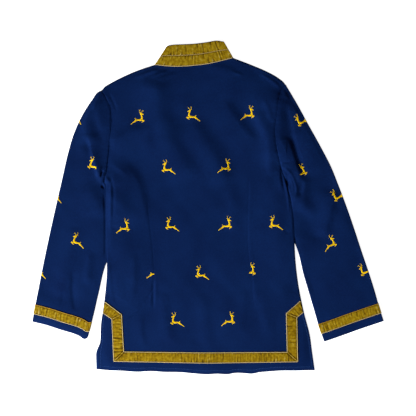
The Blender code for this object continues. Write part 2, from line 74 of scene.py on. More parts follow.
# Outline of the body from the shoulder tips down, the front's neckline and its slit
body = {
    "leftShoulder": ((-239.4, 264), (-234, 271), (-220, 280), (-193, 294), (-166, 306), (-119, 322)),
    "backNeck": ((-119, 322), (-98, 319.5), (-68, 318), (-34, 320), (-1, 324), (31, 331), (56, 337.5)),
    "rightShoulder": ((56, 337.5), (103, 319.5), (130, 308), (158, 292.5), (171, 282), (175, 276.5)),
    "leftArmhole": (
        (-239.4, 264), (-228, 247), (-220, 224), (-218, 195), (-219, 172), (-222, 137), (-226, 103),
        (-230, 55),
    ),
    "rightArmhole": (
        (175, 276.5), (166.5, 268), (160.7, 254), (155, 213), (151, 183), (151.5, 155), (156, 126),
        (165, 90),
    ),
    "leftSide": (
        (-230, 55), (-229.5, -73), (-227.5, -140), (-235, -221), (-241, -262), (-243, -302),
        (-246, -320), (-246.5, -364),
    ),
    "rightSide": (
        (165, 90), (170.5, 74), (176, 57), (181.5, 39), (187, 20), (189.8, 0), (192, -39), (194.5, -75),
        (197, -118), (205, -181), (216, -235), (230, -290), (234, -320), (240.5, -366),
    ),
    "hem": (
        (-246.5, -364), (-222, -366.3), (-193, -367.4), (-160, -369.6), (-128, -368.2), (-99, -370),
        (-62, -370.6), (-31, -373.4), (-4, -375.4), (22, -374.2), (44, -375.2), (63, -372.2),
        (82, -372.8), (98, -374), (118, -370.4), (130, -369.4), (164, -367), (198, -366.8), (240.5, -366),
    ),
    "slitHalfShare": 0.0017,
    "slitShare": 0.29,
    "leftFrontNeck": ((-119, 322), (-109, 299), (-92, 276), (-66, 256), (-32.25, 246)),
    "rightFrontNeck": ((-30.75, 246), (2, 259), (28, 281), (46, 311), (56, 337.5)),
    "flapReach": ((-364, 5.0), (-325, 5.5), (-305, 0.0)),
    "neckShares": (0.29, 0.715),
    "armpitShare": 14 / 38,
    "ventTop": -222,
}

# Each sleeve from its armhole to the cuff, and how far above the cuff its ribbon's edges lie. Its inner edge
# goes under the body at the armpit and comes out further down, both on the plan's y, and that length of its
# outer edge lies abreast of the armhole
sleeves = {
    "left": {
        "armhole": body["leftArmhole"],
        "side": body["leftSide"],
        "outward": -1,
        "outer": (
            (-239.8, 264), (-247.5, 260.6), (-261, 243), (-274.5, 223), (-288, 199), (-301.5, 168.5),
            (-315, 124), (-328.5, 65), (-342, 6.5), (-355.5, -54), (-369, -117.5), (-382.5, -186),
            (-395.8, -256.5),
        ),
        "inner": (
            (-227, 55.5), (-225, 40), (-222, 24), (-217, 2), (-210, -24), (-206, -52), (-213, -92),
            (-229.5, -127), (-246.5, -194), (-259, -248), (-266.5, -276), (-269.6, -289), (-272.5, -294.6),
        ),
        "cuff": (
            (-395.8, -256.5), (-365, -264), (-332.5, -274.5), (-288.5, -289.6), (-278.5, -295.8),
            (-272.5, -294.6),
        ),
        "ribbon": (37.8, 19.3),
        "armpit": 55,
        "out": -127,
        "abreast": 210.0,
    },
    "right": {
        "armhole": body["rightArmhole"],
        "side": body["rightSide"],
        "outward": 1,
        "outer": (
            (175.4, 276.5), (184.5, 261.5), (198, 238.7), (225, 189.5), (252, 141), (279, 88.4),
            (292.5, 54.5), (306, 19.4), (319.5, -18), (346.5, -99), (373.5, -180.5), (387, -228),
            (396, -255.2),
        ),
        "inner": (
            (161.5, 90.5), (162.5, 74), (162, 58), (159, 36), (155, 10), (164, -24), (178, -54),
            (194.6, -79.4), (216, -154), (236, -221), (252, -275), (261.7, -301.7),
        ),
        "cuff": ((261.7, -301.7), (277, -296.6), (339, -274.5), (396, -255.2)),
        "ribbon": (40.5, 20.6),
        "armpit": 90,
        "out": -79,
        "abreast": 168.0,
    },
}

# Shares down a sleeve, the share of the armhole along its top, and the length of its cuff's zone
sleeveRows = {"cap": 2 / 14, "armpit": 0.38, "cuffStart": 0.86, "cuffZone": 62.0}

# The stand collar's free edge, behind and on its two front halves
collar = {
    "top": (
        (-97.5, 356.5), (-91.5, 364), (-82, 366.3), (-58, 367.8), (-31, 369.2), (-4, 372.4), (22, 376),
        (35, 374),
    ),
    "leftFrontTop": ((-33, 293), (-58, 300), (-80, 322), (-97.5, 356.5)),
    "rightFrontTop": ((35, 374), (20, 335), (-2, 304), (-30, 293)),
    "neckMiddle": (-31.5, 430),
    "ribbons": {"upper": (0.0, 0.485), "lower": (0.515, 1.0)},
    "oval": {"x": -31.5, "y": 325.0, "across": 100.0, "down": 92.0, "fall": 0.4},
}

# The velvet ribbon round the vents and hem: its two edges, corner by corner, and how the cloth under it
# is held flat, from its middle out
hemRibbon = {
    "outside": (
        (-235.5, -236.5), (-215.5, -250.5), (-211.5, -345), (-2, -349), (201.5, -346), (199.5, -246.5),
        (214, -235),
    ),
    "inside": (
        (-232.5, -212.5), (-195, -240.5), (-190, -324.7), (-9, -327), (179, -325.5), (177, -238),
        (208, -211),
    ),
    "corners": (1, 2, 4, 5),
    "clear": (22.0, 20.0),  # where the cloth starts to rise, and over what length
    "keptLoft": 0.25,
    "keptFolds": 0.3,
    # painted shade over the whole hem ribbon, which keeps it darker than the cuffs' and collar's
    "shade": 0.06,
    # one cross crease, pressed in, with painted shade in it
    "cross": {"path": ((-212, -293.5), (-192, -295.5)), "width": 1.2, "depth": 0.35, "dark": 0.7},
}

# Soft folds of the upper layer. Widths are those right and left of the path, in its own direction,
# and a trough has a height below zero
folds = {
    "bodyFolds": (
        ("left shoulder", 34, 26, 5.0, (
            (-121, 302), (-121, 262), (-118, 232), (-111, 206), (-105, 182), (-101, 158))),
        ("left back", 36, 26, 4.2, ((-104, 192), (-92, 164), (-77, 137), (-62, 112), (-50, 86), (-38, 56))),
        ("blade", 26, 13, 2.5, ((-228, 141), (-192, 160), (-166, 171), (-142, 173), (-116, 168))),
        ("centre", 30, 22, 3.6, ((-44, 196), (-22, 160), (-4, 134), (14, 108), (28, 78), (40, 44))),
        ("right blade", 34, 15, 2.6, ((28, 244), (49, 214), (63, 195), (77, 175), (93, 157), (114, 147))),
        ("right armhole", 11, 15, 2.4, (
            (106, 222), (117, 196), (127, 176), (135, 155), (139, 126), (140, 96), (141, 66))),
        ("right armhole roll", 8, 6, 1.0, ((122, 250), (132, 228), (140, 206), (145, 188))),
        ("left waist", 60, 13, 2.3, (
            (-222, 102), (-203, 98), (-185, 88), (-171, 73), (-160, 56), (-154, 36), (-150, 14),
            (-147, -10), (-143, -44))),
        ("left waist crease", 7, 8, 1.1, ((-226, 104), (-206, 92), (-190, 80), (-176, 66))),
        ("left edge low", 9, 16, 1.0, ((-217, -24), (-219, -60), (-222, -112))),
        ("left flank", 30, 44, 3.6, ((-216, 96), (-213, 40), (-213, 0), (-215, -56))),
        ("left edge nick", 2.5, 2, -0.8, ((-219, -42), (-211, -45), (-203, -45))),
        ("underarm pull", 4, 4, 1.4, ((-230, 72), (-225, 61), (-219, 54))),
        ("neck hollow", 14, 8, 1.0, ((-10, 320), (14, 317), (40, 311), (66, 303))),
        ("left yoke pull", 5, 4, 2.0, ((-168, 290), (-138, 303), (-104, 314))),
        ("second yoke pull", 5, 4, 1.8, ((-136, 292), (-112, 300), (-84, 311))),
        ("third yoke pull", 6, 5, 1.4, ((-124, 288), (-100, 293), (-64, 306))),
        ("right yoke pull", 5, 4, 1.0, ((110, 307), (134, 293), (154, 278), (168, 263))),
        ("right yoke crease", 4, 4, 0.8, ((48, 306), (62, 303), (84, 296))),
        ("left armhole groove", 3, 3, -0.7, ((-227, 264), (-217, 246), (-209, 228), (-204, 210))),
        ("left drape crease", 2.2, 2.6, -1.3, (
            (-121, -174), (-131, -196), (-146, -217), (-166, -236), (-188, -254))),
        ("left dart end", 2.6, 3.4, -1.1, ((-123, -158), (-123.5, -190), (-124, -230))),
        ("left dart light", 3, 5, 0.5, ((-119, -152), (-118.5, -190), (-119, -232))),
        ("left panel crease", 12, 5, 0.7, ((-146, -236), (-150, -270), (-141, -318))),
        ("right hip crease", 4, 4, -0.5, ((165, -45), (175, -52), (185, -60))),
        ("middle back", 14, 16, 1.0, ((50, 62), (54, 20), (56, -20), (58, -60))),
        ("left seat", 13, 15, 1.4, ((-104, -186), (-99, -240), (-94, -305))),
        ("left seat low", 10, 12, 0.8, ((-92, -240), (-84, -280), (-76, -325))),
        ("centre seat", 16, 14, 0.9, ((-16, -190), (-8, -250), (2, -333))),
        ("right seat", 12, 16, 1.0, ((104, -180), (118, -214), (130, -250), (136, -290))),
        ("right seat low", 16, 10, 0.8, ((84, -180), (78, -230), (70, -290))),
        ("left hip", 12, 14, 0.8, ((-212, -120), (-208, -160), (-204, -200), (-196, -226))),
        ("left panel", 10, 8, 0.9, ((-168, -100), (-166, -150), (-172, -210))),
    ),
    "edges": (
        ("left strip", 6, 3.5, 0.6, ((-222, 66), (-219.5, 46), (-219, 10), (-219.5, -20), (-221, -56))),
        ("left groove", 3, 3.5, -0.9, ((-224, 76), (-216, 56), (-213, 38), (-213, 10), (-215, -30))),
        ("right lift", 16, 7, 1.2, ((168, 78), (173, 66), (178, 50), (182, 36))),
        ("left tip", 6, 12, 1.2, ((-246, 276), (-231, 250), (-222, 226))),
        ("right groove", 3, 2.4, -1.3, ((162, 92), (164, 80), (166, 66), (169, 48), (172, 30))),
        ("right groove side", 14, 2.6, 1.5, (
            (160.5, 96), (162, 80), (164.2, 66), (167.5, 48), (171, 30))),
        ("left vent crease", 5, 4, 0.7, ((-222, -120), (-221, -160), (-217, -190), (-211, -222))),
        ("right strip", 2.6, 2, 1.0, ((170.5, 72), (174, 54), (178, 36), (181, 12), (183, -14))),
    ),
    "armholes": (
        ("left cap", 15, 28, 4.6, ((-259, 300), (-270, 210), (-274, 138))),
        ("right cap", 44, 26, 5.2, ((158, 274), (155, 214), (154, 185), (155, 160), (157, 126), (161, 88))),
    ),
    "leftSleeve": (
        ("outer light low", 12, 12, 1.1, ((-288, 168), (-286, 150), (-282, 128), (-277, 108))),
        ("thin ridge", 6, 16, 2.5, (
            (-275, 168), (-268, 157), (-262, 140), (-258, 120), (-253, 100), (-249, 84), (-244, 60))),
        ("ridge light", 4, 8, 1.0, ((-264, 132), (-258, 112), (-252, 92), (-247, 74), (-244, 58))),
        ("cap hollow", 18, 9, -1.1, ((-252, 214), (-252, 192), (-250, 176), (-243, 158), (-236, 140))),
        ("cap streak", 8, 16, 0.9, ((-240, 252), (-245, 228), (-246, 206), (-243, 184), (-238, 166))),
        ("small streak", 3.5, 4, 0.8, ((-250, 244), (-255, 230), (-257, 216))),
        ("knot pocket", 2.0, 2.2, -3.6, ((-236, 86), (-239, 77), (-242, 68))),
        ("knot ridge", 4, 3, 0.9, ((-238, 98), (-242, 88), (-246, 78), (-248, 66))),
        ("lower knot", 6, 4, 1.8, ((-231, 80), (-236, 70), (-241, 62), (-243, 54))),
        ("knot groove", 1.8, 1.8, -1.6, ((-230, 72), (-233, 63), (-235, 54))),
        ("second pocket", 2.4, 2.4, -3.6, ((-241, 51), (-237, 48), (-231, 44))),
        ("second knot", 3, 3, 1.0, ((-232, 52), (-229, 46), (-227, 38))),
        ("elbow", 30, 22, 3.0, ((-280, 60), (-268, 36), (-256, 16), (-247, -2), (-243, -30))),
        ("beside the body", 2.5, 2.5, -1.2, (
            (-234, 38), (-233, 18), (-231.5, -15), (-231, -60), (-231, -118))),
        ("fore swell", 18, 16, 1.6, ((-300, -40), (-312, -100), (-324, -160), (-334, -205))),
        ("inner swell", 9, 10, 1.4, ((-262, -96), (-268, -130), (-274, -176))),
        ("cuff dip", 4.5, 9, -1.0, ((-303, -140), (-305, -186), (-298, -240))),
        ("second cuff dip", 4, 8, -0.7, ((-322, -176), (-328, -206), (-330, -234))),
    ),
    "rightSleeve": (
        ("cap light", 8, 8, 0.9, ((172, 268), (174, 254), (172, 242))),
        ("cap ridge", 8, 34, 1.8, (
            (182, 240), (187, 214), (191, 198), (195, 180), (199, 163), (205, 144), (210, 127),
            (216, 111), (221, 99), (227, 86), (232, 66))),
        ("cap groove", 6, 20, -1.7, (
            (188, 170), (192, 156), (198, 135), (205, 112), (211, 92), (215, 76), (219, 56))),
        ("hollow under the cap", 18, 9, -1.2, ((176, 236), (180, 214), (184, 196), (187, 178), (190, 160))),
        ("pouch top", 30, 6, 1.0, ((156, 145), (166, 150), (177, 152), (186, 150))),
        ("pouch", 40, 7, 2.0, (
            (175, 166), (179, 150), (185, 130), (192, 108), (197, 92), (202, 74), (207, 56))),
        ("pouch crease", 2, 2, -0.8, ((165, 102), (176, 102), (187, 104))),
        ("arc ridge", 2.4, 3.2, 1.2, (
            (163, 93), (173, 87), (181, 81), (188, 72), (193, 61), (197, 50), (199, 41), (197, 31),
            (190, 20))),
        ("inner arc", 2, 2.2, 0.9, ((178, 77), (184, 69), (188, 59), (191, 48), (191, 34))),
        ("arc nick", 1.8, 1.8, -1.2, ((165, 87), (171, 84.5), (178, 80))),
        ("pocket", 3.0, 3.0, -1.4, ((177.5, 72), (179, 60), (181, 46))),
        ("crescent", 7, 5, -1.9, ((214, 64), (211, 46), (206, 34), (194, 21))),
        ("hump", 4, 7, 1.5, ((188, 14), (198, 21), (206, 27), (212, 30))),
        ("hump side", 12, 14, 0.9, ((210, 22), (212, 4), (214, -16))),
        ("elbow", 44, 15, 3.2, ((202, 112), (208, 84), (211, 60), (212, 38), (212, 12), (212, -14))),
        ("elbow low", 12, 14, 1.0, ((220, 8), (226, -4), (235, -14), (246, -22))),
        ("under the edge", 10, 30, 1.0, ((179, 26), (182, 0), (185, -30), (188, -84))),
        ("underarm shade", 40, 22, -1.8, ((236, 6), (241, -20), (240, -50), (232, -84))),
        ("fore", 26, 12, 2.6, ((284, 44), (276, 6), (268, -30), (258, -72))),
    ),
}

# A fold rises from its ends over a length: the least one, one by its width, at most a share of its own
foldTaper = {"least": 22.0, "byWidth": 1.2, "most": 0.4}

# Two long darts in the back, from the top down
darts = {
    "left": ((-138, 24), (-123, -119), (-121.5, -172), (-123, -222)),
    "right": ((92.5, 71), (90.2, -84), (95, -137), (99.7, -172), (102.6, -216)),
    "groove": {"halfWidth": 1.4, "depth": 0.35},
    "ridge": {"halfWidth": 6.0, "height": 0.25, "beside": 5.0},
    "starts": 26.0,
    "stops": 12.0,
}

# How the body rises over a sleeve's hidden edge: below the armpit, above where it comes out, and inwards
tuck = {"below": 22.0, "above": (-110.0, 105.0), "inside": (24.0, 90.0)}

# An armhole's seam: fine puckers along it in a groove, steep on its left and gentle on its right
armholeSeam = {
    "pucker": 0.12,
    "pitch": 1.9,
    "drift": 1.3,
    "driftLength": 7.0,
    "start": 30.0,
    "reach": 8.0,
    "groove": 0.6,
    "steep": 3.0,
    "gentle": 9.0,
    "side": (-4.0, 30.0),  # below the armpit the seam turns into the body's side
}

# Slow and fine waves in cloth that was laid out by hand, by their height and lengths
waves = {
    "slow": {"height": 0.5, "x": 23.0, "y": 61.0, "crossX": 88.0, "crossY": 34.0, "shift": 1.1},
    "fine": {"height": 0.22, "x": 9.5, "y": 27.0, "bend": 1.8, "crossX": 53.0, "crossY": 17.0, "shift": 0.6},
}

# A sleeve's upper layer: each pair says where something starts to fade in, and over what length
sleeveLay = {
    "cap": (0.0, 15.0),
    "besideBody": (-5.0, 7.0),
    "fromEdge": (1.0, 12.0),
    "aboveCuff": (40.0, 30.0),
    "keptFolds": 0.25,
    "loftAboveCuff": 60.0,
    "keptLoft": 0.3,
    "cuffFall": 17.0,
    "air": 0.2,  # least, between its two layers
    "underBody": 1.0,
    "ribbonHalf": 15.0,
    "ribbonAbove": 44.0,
    "ribbonBelow": 14.0,
}
farAway = 100.0  # further than anything that a distance shapes
tiny = 1e-6


def smooth(share):
    share = np.clip(share, 0.0, 1.0)
    return share * share * (3 - 2 * share)


# From 0 at the start to 1 after the length
def fade(value, start, length):
    return smooth((value - start) / length)


# From the least share to 1
def atLeast(least, share):
    return least + (1 - least) * share


# 1 at zero, and next to nothing two widths away
def bell(widths):
    return np.exp(-(widths**2))


# Smooth line through points, read by its share of their length or of their width
def curve(points, byWidth=False):
    knots = np.array(points, float)
    steps = np.diff(knots, axis=0)
    steps = np.abs(steps[:, 0]) if byWidth else np.linalg.norm(steps, axis=1)
    shares = np.concatenate([[0], np.cumsum(steps)]) / steps.sum()
    slopes = np.gradient(knots, shares, axis=0) if len(knots) > 2 else np.array([knots[1] - knots[0]] * 2)

    def at(share):
        share = np.asarray(share, float)
        i = np.clip(np.searchsorted(shares, share) - 1, 0, len(steps) - 1)
        span = (shares[i + 1] - shares[i])[..., None]
        t = (share - shares[i])[..., None] / span
        start = (1 + 2 * t) * (1 - t) ** 2 * knots[i] + t * (1 - t) ** 2 * span * slopes[i]
        end = t * t * (3 - 2 * t) * knots[i + 1] + t * t * (t - 1) * span * slopes[i + 1]
        return start + end

    at.length = steps.sum()
    return at


def fineLine(path, count=40):
    return curve(path)(np.linspace(0, 1, count))


# Length along a line at each of its points
def lengthsAlong(line):
    return np.concatenate([[0], np.cumsum(np.linalg.norm(np.diff(line, axis=0), axis=1))])


# Points of a line at the given stops, when its own points have stops too
def readLine(line, ownStops, stops):
    return np.column_stack([np.interp(stops, ownStops, line[:, k]) for k in (0, 1)])


def unit(vectors):
    return vectors / np.maximum(np.linalg.norm(vectors, axis=1, keepdims=True), 1e-9)


# Lines end to end, each given with the share where it stops
def joined(*stretches):
    def at(share):
        share = np.asarray(share, float)
        points = np.zeros(share.shape + (2,))
        start = -1.0
        for stop, line in stretches:
            here = (share > start) & ((share <= stop) | (stop == 1.0))
            low = max(start, 0.0)
            points[here] = line((share[here] - low) / (stop - low))
            start = stop
        return points

    return at


def turned(line):
    return lambda share: line(1 - np.asarray(share))


# The same line, with the given lengths along it reached at the given shares
def paced(line, shares, lengths):
    return lambda share: line(np.interp(share, shares, np.array(lengths) / line.length))


# The surface between four lines: across from left to right, down from top to bottom
def patch(top, bottom, left, right):
    ends = np.array((0.0, 1.0))
    corners = (*top(ends), *bottom(ends))

    def at(across, down):
        a, d = np.asarray(across)[..., None], np.asarray(down)[..., None]
        ruled = (1 - d) * top(across) + d * bottom(across) + (1 - a) * left(down) + a * right(down)
        flatTop = (1 - a) * corners[0] + a * corners[1]
        return ruled - (1 - d) * flatTop - d * ((1 - a) * corners[2] + a * corners[3])

    return at


# Distance from a path, place along it, its whole length, and the side: 1 right of its direction
def nearPath(path, x, y):
    best, along, side, before = np.full(x.shape, 1e9), np.zeros(x.shape), np.ones(x.shape), 0.0
    for (x0, y0), (x1, y1) in zip(path[:-1], path[1:]):
        dx, dy = x1 - x0, y1 - y0
        length = math.hypot(dx, dy)
        share = np.clip(((x - x0) * dx + (y - y0) * dy) / length**2, 0, 1)
        away = np.hypot(x - x0 - share * dx, y - y0 - share * dy)
        closer = away < best
        best = np.where(closer, away, best)
        along = np.where(closer, before + share * length, along)
        side = np.where(closer, np.sign((x - x0) * dy - (y - y0) * dx), side)
        before += length
    return best, along, before, side


def sideX(side, y):
    points = np.array(sorted((py, px) for px, py in side))
    return np.interp(y, points[:, 0], points[:, 1])


topLine = np.array(body["leftShoulder"][:-1] + body["backNeck"][:-1] + body["rightShoulder"])
hemLine = np.array(body["hem"])
ribbonMiddle = (np.array(hemRibbon["outside"]) + np.array(hemRibbon["inside"])) / 2


def topY(x):
    return np.interp(x, topLine[:, 0], topLine[:, 1])


def hemY(x):
    return np.interp(x, hemLine[:, 0], hemLine[:, 1])


# How far a place lies inside the body's side
def insideSide(name, x, y):
    sleeve = sleeves[name]
    return -sleeve["outward"] * (x - sideX(sleeve["side"], y))


# From 0 under the hem ribbon to 1 clear of it
def clearOfRibbon(x, y):
    return fade(nearPath(ribbonMiddle, x, y)[0], *hemRibbon["clear"])


# How much the body rises over the sleeves' hidden edges
def tuckRise(x, y):
    rise = np.zeros(x.shape)
    for name, sleeve in sleeves.items():
        inside = insideSide(name, x, y)
        along = smooth((sleeve["armpit"] - y) / (tuck["below"] + np.maximum(inside, 0)))
        along = along * fade(y - sleeve["out"], *tuck["above"])
        rise = np.maximum(rise, along * (1 - fade(inside, *tuck["inside"])))
    return rise * (cloth["sleeveHeight"] + cloth["gap"])


# How much both panels rise over the collar's front halves
def neckRise(x, y):
    oval = collar["oval"]
    reach = np.hypot((x - oval["x"]) / oval["across"], (y - oval["y"]) / oval["down"])
    return cloth["underRibbon"] * (1 - fade(reach, 1, oval["fall"]))


# Lowest place that the front panel may take, and its outer face a little above that
def frontUnder(x, y):
    hem = cloth["underRibbon"] * (1 - clearOfRibbon(x, y))
    return np.maximum(np.maximum(hem, tuckRise(x, y)), neckRise(x, y))


def frontFace(x, y):
    return frontUnder(x, y) + cloth["frontAir"]


# From 0 on the side seams and shoulders to 1 inside, and 1 along the armholes
def clearOfSeams(x, y, reach):
    clear = smooth((topY(x) - y) / reach) * smooth((y - hemY(x)) / reach)
    for name, sleeve in sleeves.items():
        side = fade(sleeve["armpit"] - y, *armholeSeam["side"])
        clear = clear * np.maximum(smooth(insideSide(name, x, y) / reach), 1 - side)
    return clear


# Height of the folds in one table. Each is a bell across its path, left out past three widths
def foldHeight(table, x, y):
    height = np.zeros(x.shape)
    for _, rightWidth, leftWidth, peak, path in folds[table]:
        line = fineLine(path, 4 * len(path) - 3)
        reach = 3 * max(leftWidth, rightWidth)
        low, high = line.min(axis=0) - reach, line.max(axis=0) + reach
        near = (x > low[0]) & (x < high[0]) & (y > low[1]) & (y < high[1])
        if not near.any():
            continue
        away, along, length, side = nearPath(line, x[near], y[near])
        middleWidth = (rightWidth + leftWidth) / 2
        taper = min(max(foldTaper["least"], foldTaper["byWidth"] * middleWidth), foldTaper["most"] * length)
        ends = smooth(along / taper) * smooth((length - along) / taper)
        height[near] += peak * ends * bell(away / np.where(side > 0, rightWidth, leftWidth))
    return height


def lay(x, y):
    slow, fine = waves["slow"], waves["fine"]
    height = slow["height"] * np.sin(x / slow["x"] + y / slow["y"] + slow["shift"])
    height = height * np.sin(y / slow["crossY"] - x / slow["crossX"])
    ripple = fine["height"] * np.sin(x / fine["x"] + np.sin(y / fine["y"]) * fine["bend"])
    return height + ripple * np.sin(y / fine["crossY"] + x / fine["crossX"] + fine["shift"])


# The darts' stitched grooves, each with a soft ridge on its outer side
def dartHeight(x, y):
    height = np.zeros(x.shape)
    groove, ridge = darts["groove"], darts["ridge"]
    for name, outward in (("left", 1), ("right", -1)):
        away, along, length, side = nearPath(fineLine(darts[name], 13), x, y)
        ends = smooth(along / darts["starts"]) * smooth((length - along) / darts["stops"])
        away = np.where(side > 0, away, -away) * outward
        height -= groove["depth"] * ends * bell(away / groove["halfWidth"])
        height += ridge["height"] * ends * bell((away - ridge["beside"]) / ridge["halfWidth"])
    return height


def seamPuckers(x, y):
    height, seam = np.zeros(x.shape), armholeSeam
    for sleeve in sleeves.values():
        away, along, _, side = nearPath(fineLine(sleeve["armhole"], 25), x, y)
        ripple = np.sin(along / seam["pitch"] + seam["drift"] * np.sin(along / seam["driftLength"]))
        height += seam["pucker"] * ripple * smooth(along / seam["start"]) * bell(away / seam["reach"])
        height -= seam["groove"] * bell(away / np.where(side > 0, seam["steep"], seam["gentle"]))
    return height


# Outer surface of the back
def backTop(x, y):
    clear = clearOfRibbon(x, y)
    loft = (cloth["hollow"] - cloth["gap"] + cloth["extraLoft"]) * clearOfSeams(x, y, cloth["loftFade"])
    loft = loft * atLeast(hemRibbon["keptLoft"], clear)
    soft = foldHeight("bodyFolds", x, y) + foldHeight("armholes", x, y) + lay(x, y) + dartHeight(x, y)
    soft = soft * clearOfSeams(x, y, cloth["foldFade"]) * atLeast(hemRibbon["keptFolds"], clear)
    hollow = np.maximum(cloth["gap"] + loft + soft + foldHeight("edges", x, y), cloth["leastHollow"])
    return frontUnder(x, y) + 2 * cloth["wall"] + hollow + seamPuckers(x, y)


sleeveLines = {
    name: {part: fineLine(sleeve[part]) for part in ("outer", "inner", "cuff")}
    for name, sleeve in sleeves.items()
}


# Underside of a sleeve, raised where the cuff's ribbon goes round it
def sleeveBase(name, x, y):
    aboveCuff = nearPath(sleeveLines[name]["cuff"], x, y)[0]
    middle = sum(sleeves[name]["ribbon"]) / 2
    fall = np.where(aboveCuff > middle, sleeveLay["ribbonAbove"], sleeveLay["ribbonBelow"])
    return cloth["underRibbon"] * (1 - fade(np.abs(aboveCuff - middle), sleeveLay["ribbonHalf"], fall))


# Outer surface of a sleeve's upper layer
def sleeveTop(name, x, y):
    sleeve, lines = sleeves[name], sleeveLines[name]
    outside = -insideSide(name, x, y)
    cap = fade(y - sleeve["armpit"], *sleeveLay["cap"])
    bare = np.maximum(cap, fade(outside, *sleeveLay["besideBody"]))
    fromOuter = nearPath(lines["outer"], x, y)[0]
    fromInner = np.where(y > sleeve["armpit"], farAway, nearPath(lines["inner"], x, y)[0])
    fromEdge = np.minimum(fromOuter, fromInner)
    aboveCuff = nearPath(lines["cuff"], x, y)[0]
    soft = foldHeight(name + "Sleeve", x, y) + foldHeight("armholes", x, y) + lay(x, y)
    soft = soft * fade(fromEdge, *sleeveLay["fromEdge"])
    soft = soft * atLeast(sleeveLay["keptFolds"], fade(aboveCuff, *sleeveLay["aboveCuff"]))
    loft = cloth["extraLoft"] * smooth(fromEdge / cloth["loftFade"])
    loft = loft * atLeast(sleeveLay["keptLoft"], smooth(aboveCuff / sleeveLay["loftAboveCuff"]))
    loft = loft - cloth["cuffFall"] * (1 - smooth(aboveCuff / sleeveLay["cuffFall"]))
    least = 2 * cloth["thickness"] + sleeveLay["air"]
    height = np.maximum(cloth["sleeveHeight"] + (loft + soft) * bare, least)
    z = sleeveBase(name, x, y) + height + seamPuckers(x, y)
    # Below the armpit it stays under the body's edge
    under = (outside < 0) & (y < sleeve["armpit"])
    return np.where(under, np.minimum(z, backTop(x, y) - sleeveLay["underBody"]), z)


# Where the plan lies in the frame, read from the hem ribbon's solid
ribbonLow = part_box("hem_ribbon_back")[0]
planStart = np.array((hemRibbon["outside"][0][0], min(p[1] for p in hemRibbon["outside"])))
offset = np.array((ribbonLow[0] * 1000 - planStart[0], ribbonLow[1] * 1000 - planStart[1], 0.0))


# Puts a mesh, a camera or a light into the scene
def newObject(name, data):
    made = bpy.data.objects.new(name, data)
    bpy.context.scene.collection.objects.link(made)
    return made


# Turns a shape that is done into a mesh
def meshOf(shape, name):
    mesh = bpy.data.meshes.new(name)
    shape.to_mesh(mesh)
    shape.free()
    return mesh


# A grid of cells whose points place(columns, rows) gives, with facts to keep on each point
def gridPiece(name, columns, rows, place, thickness=0.0, missing=None, merge=0.0):
    columns, rows = np.asarray(columns, float), np.asarray(rows, float)
    across, down = len(columns) - 1, len(rows) - 1
    shape = bmesh.new()
    bmesh.ops.create_grid(shape, x_segments=across, y_segments=down, size=1)
    if missing is not None:
        gone = []
        for face in shape.faces:
            middle = face.calc_center_median()
            if missing(int((middle.x + 1) / 2 * across), int((1 - middle.y) / 2 * down)):
                gone.append(face)
        bmesh.ops.delete(shape, geom=gone, context="FACES")
    mesh = meshOf(shape, name)
    flat = np.empty(len(mesh.vertices) * 3, np.float32)
    mesh.vertices.foreach_get("co", flat)
    grid = flat.reshape(-1, 3)
    i = np.rint((grid[:, 0] + 1) / 2 * across).astype(int)
    j = np.rint((1 - grid[:, 1]) / 2 * down).astype(int)
    points, facts = place(columns[i], rows[j])
    mesh.vertices.foreach_set("co", ((points + offset) * 0.001).astype(np.float32).ravel())
    for fact, values in facts.items():
        kind, key = ("FLOAT", "value") if values.ndim == 1 else ("FLOAT_VECTOR", "vector")
        layer = mesh.attributes.new(fact, kind, "POINT")
        layer.data.foreach_set(key, values.astype(np.float32).ravel())
    if merge:
        shape = bmesh.new()
        shape.from_mesh(mesh)
        bmesh.ops.remove_doubles(shape, verts=shape.verts, dist=merge * 0.001)
        shape.to_mesh(mesh)
        shape.free()
    mesh.update()
    mesh.shade_smooth()
    piece = newObject(name, mesh)
    if thickness:
        solid = piece.modifiers.new("Cloth", "SOLIDIFY")
        solid.thickness = thickness * 0.001
        solid.offset = -1
    return piece


# Hands a finished piece to the frame
def give(piece, material, slot, *nodes):
    piece.data.materials.clear()
    piece.data.materials.append(material)
    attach(piece, "root")
    if nodes:
        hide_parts(*nodes)
    return piece


# sRGB hex to Blender's linear colour
def hexColour(code):
    parts = [int(code[k : k + 2], 16) / 255 for k in (1, 3, 5)]
    return tuple(c / 12.92 if c <= 0.04045 else ((c + 0.055) / 1.055) ** 2.4 for c in parts) + (1.0,)


# Adds a node with its settings, its inputs (each a value or the socket that feeds it) and colour stops
def addNode(tree, kind, inputs=None, stops=(), **settings):
    node = tree.nodes.new(kind)
    for key, value in settings.items():
        setattr(node, key, value)
    for key, value in (inputs or {}).items():
        if isinstance(value, bpy.types.NodeSocket):
            tree.links.new(value, node.inputs[key])
        else:
            node.inputs[key].default_value = value
    for k, (position, code) in enumerate(stops):
        element = node.color_ramp.elements[k] if k < 2 else node.color_ramp.elements.new(position)
        element.position, element.color = position, hexColour(code)
    return node


def newMaterial(name):
    material = bpy.data.materials.new(name)
    material.use_nodes = True
    material.node_tree.nodes.clear()
    return material, material.node_tree


# Gives a material its surface, with a colour and the height of a fine relief where it has one
def finishMaterial(tree, facts, colour, height=None):
    inputs = {"Base Color": colour} | facts["surface"]
    if height is not None:
        strength, depth = facts["relief"]
        bump = addNode(
            tree, "ShaderNodeBump", {"Height": height, "Strength": strength, "Distance": depth * 0.001}
        )
        inputs["Normal"] = bump.outputs["Normal"]
    surface = addNode(tree, "ShaderNodeBsdfPrincipled", inputs)
    addNode(tree, "ShaderNodeOutputMaterial", {"Surface": surface.outputs["BSDF"]})


# Noise cell count per metre for a feature of this size in millimetres
def perMetre(size):
    return 1000.0 / size


# Scale of a Wave texture whose bands lie this far apart, in the units of its coordinates
def bandScale(spacing):
    return 2 * math.pi / (20 * spacing)


